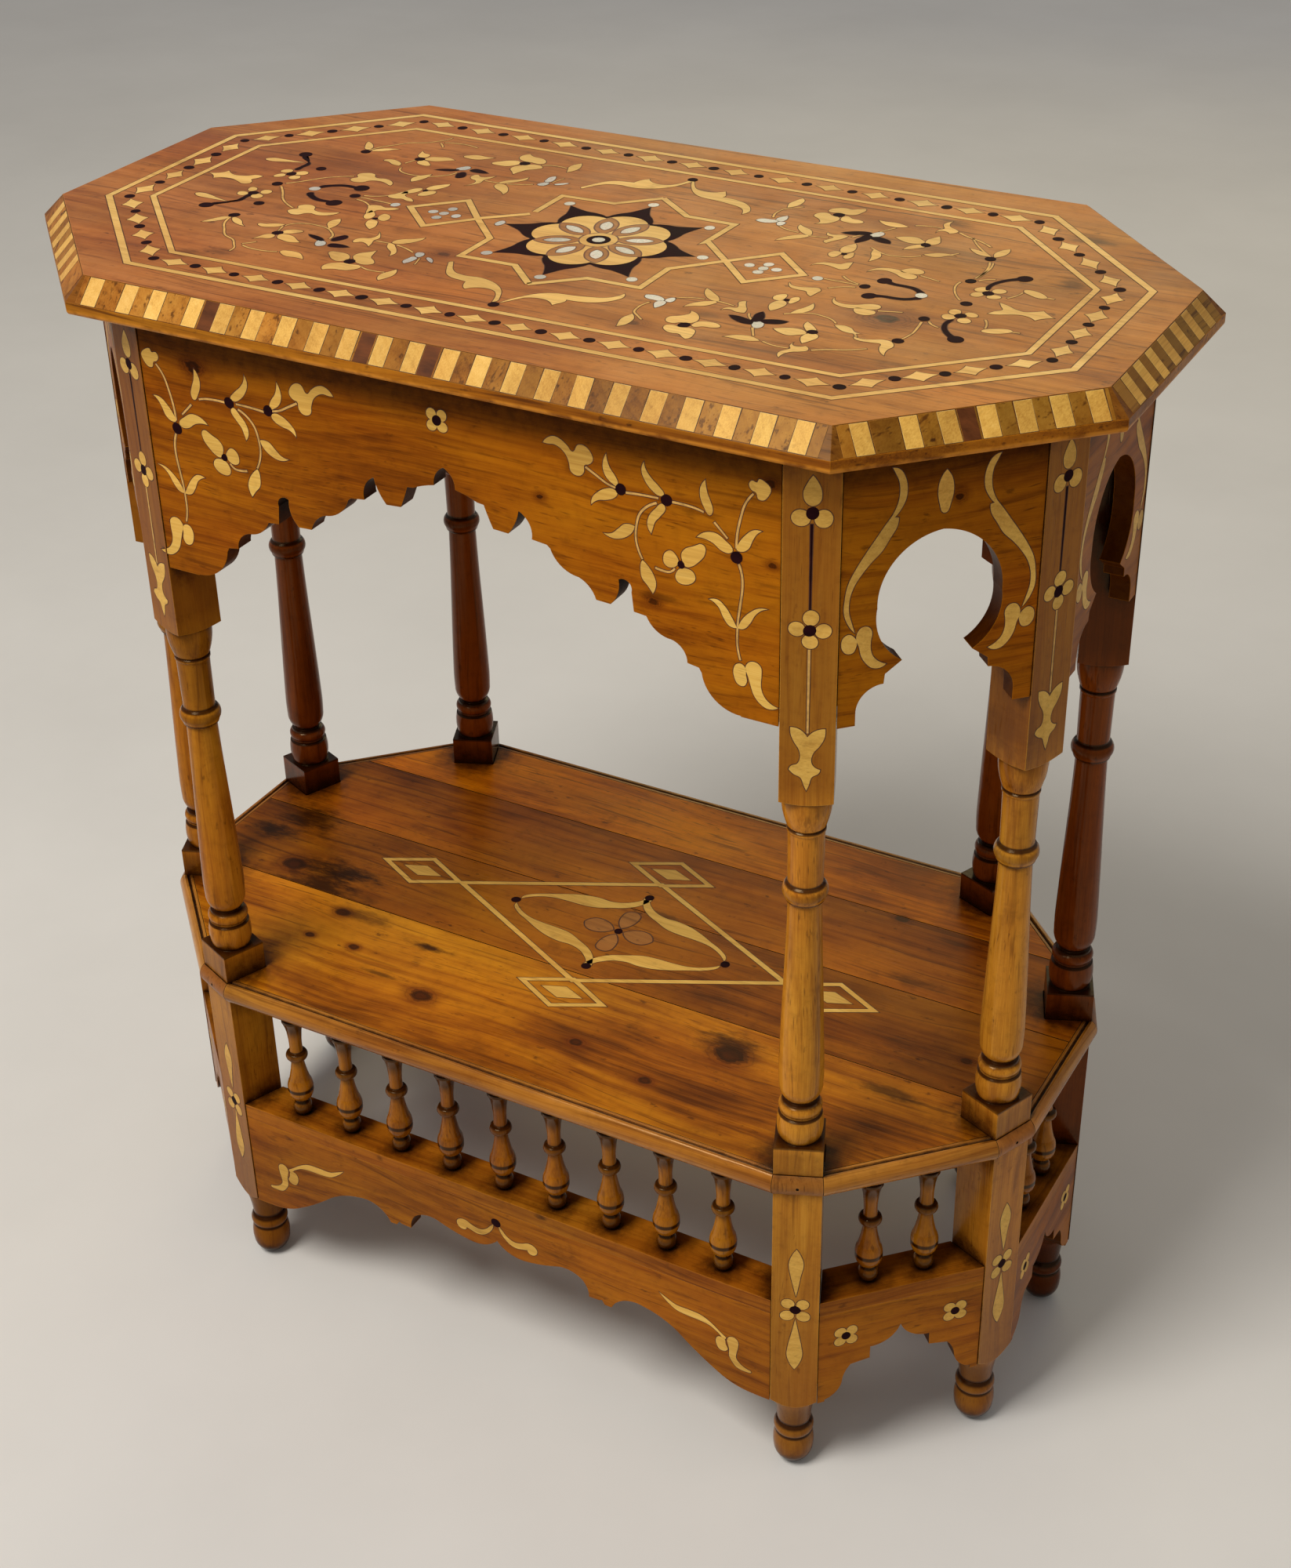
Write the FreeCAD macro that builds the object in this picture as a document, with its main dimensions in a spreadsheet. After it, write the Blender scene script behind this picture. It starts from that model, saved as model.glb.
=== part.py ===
import FreeCAD, Part
import math
import os
import Sketcher

# An elongated octagonal occasional table: eight legs turned from square posts carry a
# bevelled top on eight arched aprons, and a boarded shelf over a gallery of balusters.
# Lengths are millimetres. The origin is on the floor under the middle of the top, X runs
# along the long side, the front faces -Y and Z is up.

Vector = FreeCAD.Vector
Rotation = FreeCAD.Rotation
Placement = FreeCAD.Placement

document = FreeCAD.newDocument("OctagonalTable")
sheet = document.addObject("Spreadsheet::Sheet", "Sizes")

SIZES = [
    # the whole table
    ("table_height", 740.0),
    ("frame_length", 635.0),
    ("frame_width", 341.4),
    ("end_side", 140.55),
    # the top
    ("overhang_end", 26.2),
    ("overhang_side", 16.9),
    ("overhang_corner", 24.0),
    ("top_thickness", 20.6),
    ("bevel_drop", 12.8),
    ("bevel_width", 12.4),
    ("edge_round", 3.0),
    # the legs
    ("leg_stock", 29.5),
    ("upper_block", 205.8),
    ("plinth_height", 20.5),
    ("foot_height", 57.8),
    ("upper_shoulder", 2.0),
    ("foot_shoulder", 7.0),
    # the boards and their joints
    ("apron_thickness", 12.0),
    ("apron_height", 157.5),
    ("lower_apron_height", 75.5),
    ("face_setback", 0.5),
    ("joint_gap", 0.4),
    ("tenon_thickness", 5.0),
    ("tenon_length", 7.0),
    ("tenon_shoulder", 9.0),
    # the shelf and its moulding
    ("shelf_height", 253.0),
    ("shelf_thickness", 14.5),
    ("board_gap", 0.7),
    ("strip_inset", 5.0),
    ("strip_projection", 4.2),
    ("nose_rise", 3.6),
    ("quirk_width", 2.4),
    ("quirk_depth", 1.6),
    ("quirk_inset", 1.0),
    # the gallery
    ("rail_height", 149.5),
    ("rail_thickness", 11.3),
    ("rail_width", 27.5),
    ("baluster_radius", 8.8),
    ("baluster_inset", 13.5),
    ("dowel_radius", 3.0),
    ("dowel_length", 6.5),
    ("dowel_clearance", 0.2),
    # the hidden battens and their screws
    ("top_batten_width", 40.0),
    ("top_batten_depth", 22.0),
    ("shelf_batten_width", 35.0),
    ("shelf_batten_depth", 14.0),
    ("batten_end_gap", 0.4),
    ("screw_radius", 2.0),
    ("screw_head_radius", 4.2),
    ("screw_head_depth", 2.6),
    ("screw_length", 32.0),
    ("screw_clearance", 0.15),
    # the pins through the short moulding slips
    ("pin_radius", 0.9),
    ("pin_length", 13.0),
    ("pin_clearance", 0.1),
]
COUNTS = [("balusters_long", 9), ("balusters_short", 2), ("batten_screws", 3)]

for row, (alias, amount) in enumerate(SIZES + COUNTS, start=1):
    sheet.set("A%d" % row, alias)
    sheet.set("B%d" % row, str(amount))
    sheet.setAlias("B%d" % row, alias)
document.recompute()


class Size:
    """A length worked out from the sheet, with its number and its expression."""

    def __init__(self, number, text):
        self.number = number
        self.text = text

    def __add__(self, other):
        return Size(self.number + other.number, "(%s + %s)" % (self.text, other.text))

    def __sub__(self, other):
        return Size(self.number - other.number, "(%s - %s)" % (self.text, other.text))

    def __mul__(self, factor):
        return Size(self.number * factor, "(%s * %.9f)" % (self.text, factor))

    def __truediv__(self, divisor):
        return self * (1 / divisor)

    def __neg__(self):
        return self * -1


numbers = dict(SIZES)
numbers.update(COUNTS)


def cell(alias):
    return Size(float(numbers[alias]), "Sizes.%s" % alias)


ZERO = Size(0.0, "0")

# Directions. Neighbouring faces of the octagon turn by the facet angle, and each leg stands
# turned halfway between its two faces, so its two front arrises lie in them.
facet_angle = 45.0
half_facet = math.radians(facet_angle / 2)
mitre = math.radians(facet_angle / 4)
diagonal = math.sqrt(2)
leg_reach = math.cos(half_facet) + math.sin(half_facet)
arris_reach = math.cos(half_facet) - math.sin(half_facet)

# Main places.
half_stock = cell("leg_stock") / 2
half_length = cell("frame_length") / 2
half_width = cell("frame_width") / 2
half_diagonal = (half_length + cell("end_side") / 2) / diagonal
top_underside = cell("table_height") - cell("top_thickness")
block_bottom = top_underside - cell("upper_block")
shelf_top = cell("shelf_height")
shelf_underside = shelf_top - cell("shelf_thickness")
plinth_top = shelf_top + cell("plinth_height")
rail_top = cell("rail_height")
rail_underside = rail_top - cell("rail_thickness")
overrun = cell("leg_stock")

# Leg axes: each lies the same reach behind the two faces that it joins.
axis_sum = (half_diagonal - half_stock * leg_reach) * diagonal
side_leg_y = half_width - half_stock * leg_reach
side_leg_x = axis_sum - side_leg_y
end_leg_x = half_length - half_stock * leg_reach
end_leg_y = axis_sum - end_leg_x

LEGS = {
    "leg_front_right": (side_leg_x, -side_leg_y, 0.5),
    "leg_right_front": (end_leg_x, -end_leg_y, 1.5),
    "leg_right_back": (end_leg_x, end_leg_y, 2.5),
    "leg_back_right": (side_leg_x, side_leg_y, 3.5),
    "leg_back_left": (-side_leg_x, side_leg_y, 4.5),
    "leg_left_back": (-end_leg_x, end_leg_y, 5.5),
    "leg_left_front": (-end_leg_x, -end_leg_y, 6.5),
    "leg_front_left": (-side_leg_x, -side_leg_y, 7.5),
}

# Each side has a middle point in its face, a turn about Z and half the clear length between
# the leg arrises. In its own frame X runs along the side and Y points inward.
long_half = side_leg_x - half_stock * arris_reach
end_half = end_leg_y - half_stock * arris_reach
corner_half = (end_leg_x - side_leg_x) * (diagonal / 2) - half_stock * arris_reach
corner_x = (end_leg_x + side_leg_x) / 2 + half_stock * (leg_reach / diagonal)
corner_y = (end_leg_y + side_leg_y) / 2 + half_stock * (leg_reach / diagonal)

SIDES = {
    "front": (ZERO, -half_width, 0, long_half, "balusters_long"),
    "front_right": (corner_x, -corner_y, 1, corner_half, "balusters_short"),
    "right": (half_length, ZERO, 2, end_half, "balusters_short"),
    "back_right": (corner_x, corner_y, 3, corner_half, "balusters_short"),
    "back": (ZERO, half_width, 4, long_half, "balusters_long"),
    "back_left": (-corner_x, corner_y, 5, corner_half, "balusters_short"),
    "left": (-half_length, ZERO, 6, end_half, "balusters_short"),
    "front_left": (-corner_x, -corner_y, 7, corner_half, "balusters_short"),
}

parts = []
cuts = []


def bind(thing, name, size):
    thing.setExpression(name, size.text)


def place(thing, x, y, z, facets=0):
    """Put an object at a bound place, turned about Z by a number of facets."""
    turn = Rotation(Vector(0, 0, 1), facet_angle * facets)
    thing.Placement = Placement(Vector(x.number, y.number, z.number), turn)
    bind(thing, "Placement.Base.x", x)
    bind(thing, "Placement.Base.y", y)
    bind(thing, "Placement.Base.z", z)


def new_body(name, x=ZERO, y=ZERO, z=ZERO, facets=0, part=True):
    body = document.addObject("PartDesign::Body", name)
    body.Label = name
    place(body, x, y, z, facets)
    if part:
        parts.append(body)
    return body


def sketch_on(body, plane, loops, name, lift=None):
    """A sketch of closed loops. A corner is (x, y), or (x, y, mx, my) where the edge that
    reaches it is an arc through (mx, my). A circle is (x, y, radius)."""
    sketch = body.newObject("Sketcher::SketchObject", name)
    support = [item for item in body.Origin.OriginFeatures if item.Role == plane][0]
    sketch.AttachmentSupport = [(support, "")]
    sketch.MapMode = "FlatFace"
    if lift is not None:
        sketch.AttachmentOffset = Placement(Vector(0, 0, lift.number), Rotation())
        bind(sketch, "AttachmentOffset.Base.z", lift)
    shapes = []
    rules = []
    bound = []

    def fix(index, end, x, y):
        rules.append(Sketcher.Constraint("DistanceX", -1, 1, index, end, x.number))
        bound.append((len(rules) - 1, x))
        rules.append(Sketcher.Constraint("DistanceY", -1, 1, index, end, y.number))
        bound.append((len(rules) - 1, y))

    for loop in loops:
        if len(loop) == 3 and isinstance(loop[0], Size):
            x, y, radius = loop
            middle = Vector(x.number, y.number, 0)
            shapes.append(Part.Circle(middle, Vector(0, 0, 1), radius.number))
            index = len(shapes) - 1
            fix(index, 3, x, y)
            rules.append(Sketcher.Constraint("Radius", index, radius.number))
            bound.append((len(rules) - 1, radius))
            continue
        ends = []
        for step, corner in enumerate(loop):
            before = loop[step - 1]
            start = Vector(before[0].number, before[1].number, 0)
            stop = Vector(corner[0].number, corner[1].number, 0)
            index = len(shapes)
            if len(corner) == 4:
                through = Vector(corner[2].number, corner[3].number, 0)
                turn = (through - start).cross(stop - through).z
                if turn > 0:
                    shapes.append(Part.Arc(start, through, stop))
                    ends.append((index, 1, 2, corner))
                else:
                    shapes.append(Part.Arc(stop, through, start))
                    ends.append((index, 2, 1, corner))
            else:
                shapes.append(Part.LineSegment(start, stop))
                ends.append((index, 1, 2, corner))
        for step, (index, first, last, corner) in enumerate(ends):
            following = ends[(step + 1) % len(ends)]
            rules.append(Sketcher.Constraint("Coincident", index, last, following[0], following[1]))
            fix(index, last, corner[0], corner[1])
    arcs = [(index, corner) for index, corner in arc_corners(loops)]
    for index, corner in arcs:
        point = len(shapes)
        shapes.append(Part.Point(Vector(corner[2].number, corner[3].number, 0)))
        fix(point, 1, corner[2], corner[3])
        rules.append(Sketcher.Constraint("PointOnObject", point, 1, index))
    sketch.addGeometry(shapes, False)
    for index in range(len(shapes) - len(arcs), len(shapes)):
        sketch.setConstruction(index, True)
    sketch.addConstraint(rules)
    for index, size in bound:
        sketch.setExpression("Constraints[%d]" % index, size.text)
    return sketch


def arc_corners(loops):
    index = 0
    for loop in loops:
        if len(loop) == 3 and isinstance(loop[0], Size):
            index += 1
            continue
        for corner in loop:
            if len(corner) == 4:
                yield index, corner
            index += 1


def pad(body, sketch, length, name, both=False, reverse=False):
    feature = body.newObject("PartDesign::Pad", name)
    feature.Profile = sketch
    feature.Length = length.number
    bind(feature, "Length", length)
    feature.Midplane = both
    feature.Reversed = reverse
    body.Tip = feature
    return feature


def pocket(body, sketch, name, length=None, reverse=False):
    """A cut through all both ways, or to a depth."""
    feature = body.newObject("PartDesign::Pocket", name)
    feature.Profile = sketch
    if length is None:
        feature.Type = "ThroughAll"
        feature.Midplane = True
    else:
        feature.Length = length.number
        bind(feature, "Length", length)
        feature.Reversed = reverse
    body.Tip = feature
    cuts.append(feature)
    return feature


def mirror(body, feature, name):
    """The same cut on the other side of the body's own middle plane."""
    plane = [item for item in body.Origin.OriginFeatures if item.Role == "YZ_Plane"][0]
    mirrored = body.newObject("PartDesign::Mirrored", name)
    mirrored.Originals = [feature]
    mirrored.MirrorPlane = (plane, [""])
    body.Tip = mirrored
    cuts.append(mirrored)
    return mirrored


def revolve(body, sketch, name, cut=False):
    kind = "PartDesign::Groove" if cut else "PartDesign::Revolution"
    feature = body.newObject(kind, name)
    feature.Profile = sketch
    feature.ReferenceAxis = (sketch, ["V_Axis"])
    feature.Angle = 360
    body.Tip = feature
    if cut:
        cuts.append(feature)
    return feature


def rectangle(x0, x1, y0, y1):
    return [(x0, y0), (x1, y0), (x1, y1), (x0, y1)]


def octagon(length, width, cut):
    """Eight corners from half the length, half the width and half the distance across."""
    reach = cut * diagonal
    return [
        (reach - width, -width), (length, length - reach), (length, reach - length),
        (reach - width, width), (width - reach, width), (-length, reach - length),
        (-length, length - reach), (width - reach, -width),
    ]


def turned_square(x, y, half, facets):
    """A square's corners, turned about its middle."""
    angle = math.radians(facet_angle * facets)
    corners = []
    for across, along in ((-1, -1), (1, -1), (1, 1), (-1, 1)):
        corners.append((
            x + half * (across * math.cos(angle) - along * math.sin(angle)),
            y + half * (across * math.sin(angle) + along * math.cos(angle)),
        ))
    return corners


# The turned parts of a leg, from the bottom up: shares of the turning's height and of half
# the stock. Four numbers give an arc's end and then its middle.
foot_shares = [
    (0.0, 0.373),
    (0.216, 0.881, 0.090, 0.739),
    (0.443, 0.814, 0.303, 0.895),
    (0.457, 0.786),
    (0.471, 0.834),
    (0.599, 0.773, 0.533, 0.875),
    (0.616, 0.705),
    (0.633, 0.732),
    (1.0, 0.956, 0.779, 0.786),
]
column_shares = [
    (0.0, 0.854),
    (0.073, 0.895, 0.035, 0.949),
    (0.076, 0.814),
    (0.082, 0.841),
    (0.085, 0.807),
    (0.112, 0.759, 0.098, 0.885),
    (0.117, 0.746),
    (0.120, 0.637),
    (0.125, 0.651),
    (0.167, 0.888, 0.140, 0.807),
    (0.240, 0.895, 0.202, 0.905),
    (0.527, 0.739, 0.360, 0.836),
    (0.707, 0.658, 0.619, 0.690),
    (0.712, 0.759),
    (0.720, 0.800),
    (0.755, 0.759, 0.738, 0.880),
    (0.759, 0.678),
    (0.900, 0.705),
    (0.904, 0.746),
    (0.910, 0.746),
    (0.913, 0.692),
    (0.919, 0.759),
    (1.0, 0.956, 0.952, 0.900),
]
shoulder_share = 0.985


def turned(shares, base, height, radius):
    corners = []
    for row in shares:
        corner = (radius * row[1], base + height * row[0])
        if len(row) == 4:
            corner = corner + (radius * row[3], base + height * row[2])
        corners.append(corner)
    return corners


def tenon_plan(toward):
    """A side board's tenon at one end, in plan, in the leg's own frame."""
    side = toward * math.sin(half_facet)
    ahead = math.cos(half_facet)
    arris_x = half_stock * toward
    arris_y = -half_stock
    back = cell("face_setback") + cell("apron_thickness")
    depths = (back - cell("tenon_thickness"), back)
    reach = cell("tenon_length")
    start = -overrun
    corners = []
    for along, depth in ((start, depths[0]), (reach, depths[0]), (reach, depths[1]), (start, depths[1])):
        corners.append((
            arris_x - along * (toward * ahead) - depth * side,
            arris_y - along * math.sin(half_facet) + depth * ahead,
        ))
    return corners


def make_leg(name):
    x, y, facets = LEGS[name]
    body = new_body(name, x, y, ZERO, facets)
    foot = cell("foot_height")
    core = half_stock * column_shares[0][1]
    inside_post = foot + half_stock
    turning = [(ZERO, inside_post), (ZERO, ZERO)] + turned(foot_shares, ZERO, foot, half_stock)
    turning += [(half_stock * foot_shares[-1][1], inside_post)]
    revolve(body, sketch_on(body, "XZ_Plane", [turning], name + "_foot_profile"), name + "_foot")
    turning = [(ZERO, block_bottom + half_stock), (ZERO, plinth_top - half_stock), (core, plinth_top - half_stock)]
    turning += turned(column_shares, plinth_top, block_bottom - plinth_top, half_stock)
    turning += [(half_stock * column_shares[-1][1], block_bottom + half_stock)]
    column = sketch_on(body, "XZ_Plane", [turning], name + "_column_profile")
    square = [rectangle(-half_stock, half_stock, -half_stock, half_stock)]
    lower = sketch_on(body, "XY_Plane", square, name + "_post_plan", foot)
    pad(body, lower, plinth_top - foot, name + "_post")
    revolve(body, column, name + "_column")
    upper = sketch_on(body, "XY_Plane", square, name + "_block_plan", block_bottom)
    pad(body, upper, cell("upper_block"), name + "_block")
    inside = half_stock * shoulder_share
    outside = half_stock * diagonal + cell("joint_gap")
    shoulders = []
    for level, rise in ((block_bottom, cell("upper_shoulder")), (foot, cell("foot_shoulder"))):
        shoulders.append([(inside, level), (outside, level), (outside, level + rise)])
    grooves = sketch_on(body, "XZ_Plane", shoulders, name + "_shoulder_lines")
    revolve(body, grooves, name + "_shoulders", cut=True)
    mortises = [tenon_plan(1), tenon_plan(-1)]
    for level, height, word in (
        (top_underside, cell("apron_height"), "upper"),
        (rail_underside, cell("lower_apron_height"), "lower"),
    ):
        plan = sketch_on(body, "XY_Plane", mortises, "%s_%s_mortise_plan" % (name, word),
                         level - cell("tenon_shoulder"))
        depth = height - cell("tenon_shoulder") * 2
        pocket(body, plan, "%s_%s_mortises" % (name, word), depth)
    hole = [(ZERO, shelf_underside + cell("shelf_thickness") / 2,
             cell("pin_radius") + cell("pin_clearance"))]
    face = sketch_on(body, "XZ_Plane", hole, name + "_pin_plan", half_stock)
    pocket(body, face, name + "_pin_hole", cell("pin_length"))
    return body


# The sawn edges of the boards, from the middle outward: shares of half the board's length
# and of its height below its top edge.
long_upper_shares = [
    (0.0, 0.326),
    (0.034, 0.400, 0.021, 0.347),
    (0.102, 0.428, 0.068, 0.411),
    (0.122, 0.431),
    (0.148, 0.514, 0.135, 0.476),
    (0.195, 0.518),
    (0.231, 0.424, 0.217, 0.476),
    (0.268, 0.519, 0.260, 0.457),
    (0.314, 0.526),
    (0.324, 0.537),
    (0.409, 0.620, 0.352, 0.590),
    (0.460, 0.690, 0.443, 0.650),
    (0.504, 0.693),
    (0.530, 0.592, 0.526, 0.650),
    (0.568, 0.628, 0.552, 0.588),
    (0.574, 0.700),
    (0.611, 0.705),
    (0.616, 0.717),
    (0.686, 0.771, 0.642, 0.753),
    (0.732, 0.845, 0.718, 0.796),
    (0.766, 0.852),
    (0.774, 0.869),
    (0.890, 0.997, 0.813, 0.961),
]
short_upper_shares = [
    (0.0, 0.318),
    (0.629, 0.571, 0.420, 0.386),
    (0.358, 0.776, 0.559, 0.704),
    (0.526, 0.819),
    (0.537, 0.855),
    (0.814, 0.952, 0.735, 0.884),
    (0.814, 1.0),
]
long_lower_shares = [
    (0.0, 0.360),
    (0.108, 0.475, 0.044, 0.452),
    (0.227, 0.393, 0.167, 0.445),
    (0.325, 0.440, 0.286, 0.384),
    (0.346, 0.605, 0.341, 0.515),
    (0.384, 0.599),
    (0.394, 0.585),
    (0.404, 0.630),
    (0.429, 0.632),
    (0.552, 0.476, 0.473, 0.500),
    (0.675, 0.619, 0.616, 0.525),
    (0.818, 0.903, 0.744, 0.770),
    (0.946, 0.997, 0.880, 0.977),
]
short_lower_shares = [
    (0.0, 0.287),
    (0.364, 0.473, 0.150, 0.431),
    (0.367, 0.600),
    (0.600, 0.625),
    (0.700, 0.800, 0.665, 0.700),
    (0.910, 0.976, 0.780, 0.920),
    (0.910, 1.0),
]


def make_apron(name, side, top, height, shares):
    """A sawn board between two legs, with a barefaced tenon at each end."""
    x, y, facets, half, count = SIDES[side]
    body = new_body(name, x, y, top, facets)
    front = cell("face_setback")
    back = front + cell("apron_thickness")
    gap = cell("joint_gap")
    slope = math.tan(half_facet)
    front_half = half - gap - front * slope
    back_half = half - gap - back * slope
    plan = [(-front_half, front), (front_half, front), (back_half, back), (-back_half, back)]
    board = sketch_on(body, "XY_Plane", [plan], name + "_plan")
    pad(body, board, height, name + "_board", reverse=True)
    low = -height - overrun
    edge = []
    for row in shares:
        corner = (front_half * row[0], -(height * row[1]))
        if len(row) == 4:
            corner = corner + (front_half * row[2], -(height * row[3]))
        edge.append(corner)
    edge += [(edge[-1][0], low), (ZERO, low)]
    arch = pocket(body, sketch_on(body, "XZ_Plane", [edge], name + "_sawn_edge"), name + "_half_arch")
    mirror(body, arch, name + "_arch")
    near = back - cell("tenon_thickness") + gap / 2
    far = back - gap / 2
    tip = half + cell("tenon_length") - gap
    inner = back_half - gap
    tenons = [rectangle(inner, tip, near, far), rectangle(-tip, -inner, near, far)]
    ends = sketch_on(body, "XY_Plane", tenons, name + "_tenon_plan",
                     -cell("tenon_shoulder") - gap)
    tall = height - cell("tenon_shoulder") * 2 - gap * 2
    pad(body, ends, tall, name + "_tenons", reverse=True)
    return body


# A baluster, from the rail up: shares of its height and of its largest radius.
baluster_shares = [
    (0.0, 0.477),
    (0.119, 0.477, 0.058, 0.739),
    (0.127, 0.443),
    (0.137, 0.557),
    (0.236, 0.989, 0.174, 0.864),
    (0.332, 0.800, 0.286, 0.960),
    (0.517, 0.466, 0.421, 0.600),
    (0.530, 0.727),
    (0.587, 0.727, 0.557, 0.841),
    (0.596, 0.523),
    (0.747, 0.545, 0.663, 0.489),
    (0.882, 0.864, 0.809, 0.625),
    (0.905, 0.864),
    (0.914, 0.750),
    (1.0, 0.750),
]


def baluster_pitch(side):
    half = SIDES[side][3]
    return half * 2 / (numbers[SIDES[side][4]] + 1)


def make_balusters(name, side):
    x, y, facets, half, count = SIDES[side]
    body = new_body(name, x, y, rail_top, facets)
    body.AllowCompound = True
    height = shelf_underside - rail_top
    pitch = baluster_pitch(side)
    first = pitch - half
    dowel = cell("dowel_radius")
    deep = cell("dowel_length")
    corners = [(ZERO, height + deep), (ZERO, -deep), (dowel, -deep), (dowel, ZERO)]
    corners += turned(baluster_shares, ZERO, height, cell("baluster_radius"))
    corners += [(dowel, height), (dowel, height + deep)]
    profile = sketch_on(body, "XZ_Plane", [corners], name + "_profile")
    inset = cell("baluster_inset")
    profile.AttachmentOffset = Placement(Vector(first.number, 0, -inset.number), Rotation())
    bind(profile, "AttachmentOffset.Base.x", first)
    bind(profile, "AttachmentOffset.Base.z", -inset)
    turning = revolve(body, profile, name + "_turning")
    row = body.newObject("PartDesign::LinearPattern", name + "_row")
    row.Originals = [turning]
    row.Direction = (profile, ["H_Axis"])
    row.Occurrences = numbers[count]
    row.setExpression("Occurrences", "Sizes.%s" % count)
    row.Length = pitch.number * (numbers[count] - 1)
    bind(row, "Length", pitch * (numbers[count] - 1))
    body.Tip = row
    return body


def make_rail(name, side):
    """A flat rail over the lower apron, bored for the balusters."""
    x, y, facets, half, count = SIDES[side]
    body = new_body(name, x, y, rail_underside, facets)
    front = cell("face_setback")
    back = front + cell("rail_width")
    slope = math.tan(half_facet)
    front_half = half - cell("joint_gap") - front * slope
    back_half = half - cell("joint_gap") - back * slope
    plan = [(-front_half, front), (front_half, front), (back_half, back), (-back_half, back)]
    board = sketch_on(body, "XY_Plane", [plan], name + "_plan")
    pad(body, board, cell("rail_thickness"), name + "_board")
    radius = cell("dowel_radius") + cell("dowel_clearance")
    pitch = baluster_pitch(side)
    holes = []
    for step in range(1, numbers[count] + 1):
        holes.append((pitch * step - half, cell("baluster_inset"), radius))
    bores = sketch_on(body, "XY_Plane", holes, name + "_bore_plan", cell("rail_thickness"))
    pocket(body, bores, name + "_bores", cell("dowel_length") + cell("dowel_clearance"))
    return body


def side_point(side, along, inward):
    """A point of a side's own frame, in the table's frame."""
    x, y, facets, half, count = SIDES[side]
    angle = math.radians(facet_angle * facets)
    return (
        x + along * math.cos(angle) - inward * math.sin(angle),
        y + along * math.sin(angle) + inward * math.cos(angle),
    )


# The seams between the shelf boards, as shares of the frame's width from its middle line.
seam_shares = (-0.157, 0.081, 0.305)


def make_shelf_board(name, low, high):
    body = new_body(name, ZERO, ZERO, shelf_underside)
    inset = cell("strip_inset") + cell("joint_gap")
    reach = half_length - inset
    strip = [rectangle(-reach, reach, low, high)]
    pad(body, sketch_on(body, "XY_Plane", strip, name + "_plan"), cell("shelf_thickness"), name + "_blank")
    cut = (half_diagonal - inset) * diagonal
    corners = []
    for along in (1, -1):
        for across in (1, -1):
            points = [(half_length, cut - half_length), (cut - half_width, half_width), (half_length, half_width)]
            corners.append([(px * along, py * across) for px, py in points])
    if max(abs(low.number), abs(high.number)) > (cut - reach).number:
        outside = sketch_on(body, "XY_Plane", corners, name + "_corner_lines")
        pocket(body, outside, name + "_corners")
    squares = []
    half = half_stock + cell("joint_gap")
    for x, y, facets in LEGS.values():
        if (low - half * leg_reach).number < y.number < (high + half * leg_reach).number:
            squares.append(turned_square(x, y, half, facets))
    if squares:
        notches = sketch_on(body, "XY_Plane", squares, name + "_notch_lines")
        pocket(body, notches, name + "_notches")
    holes = []
    radius = cell("dowel_radius") + cell("dowel_clearance")
    for side in SIDES:
        pitch = baluster_pitch(side)
        for step in range(1, numbers[SIDES[side][4]] + 1):
            x, y = side_point(side, pitch * step - SIDES[side][3], cell("baluster_inset"))
            if low.number - radius.number < y.number < high.number + radius.number:
                holes.append((x, y, radius))
    if holes:
        bores = sketch_on(body, "XY_Plane", holes, name + "_bore_plan")
        depth = cell("dowel_length") + cell("dowel_clearance")
        pocket(body, bores, name + "_bores", depth, reverse=True)
    return body


def strip_section(inner):
    """The moulding's section: Y inward and Z up, with the quirk where it is wide enough."""
    thick = cell("shelf_thickness")
    nose = cell("strip_projection")
    start = nose - cell("nose_rise")
    corners = [(inner, ZERO), (-start, ZERO), (-start, thick, -nose, thick / 2)]
    wide = cell("quirk_width")
    quirk = cell("quirk_inset")
    if inner.number > (quirk + wide).number:
        corners += [(quirk, thick), (quirk + wide / 2, thick - cell("quirk_depth")), (quirk + wide, thick)]
    corners += [(inner, thick)]
    return corners


def make_moulding(name, side):
    """The edge moulding of one side, mitred to the slips and cut to fit the legs."""
    x, y, facets, half, count = SIDES[side]
    body = new_body(name, x, y, shelf_underside, facets)
    section = sketch_on(body, "YZ_Plane", [strip_section(cell("strip_inset"))], name + "_section")
    pad(body, section, (half + overrun) * 2, name + "_length", both=True)
    gap = cell("joint_gap") / 2
    inner = cell("strip_inset") + overrun
    outer = cell("strip_projection") + overrun
    far = half + overrun * 2
    ends = []
    for way in (1, -1):
        bound = [
            (half - gap - inner * math.tan(half_facet), inner),
            (half - gap, ZERO),
            (half - gap + outer * math.tan(mitre), -outer),
            (far, -outer),
            (far, inner),
        ]
        ends.append([(px * way, py) for px, py in bound])
    pocket(body, sketch_on(body, "XY_Plane", ends, name + "_end_lines"), name + "_ends")
    return body


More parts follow.
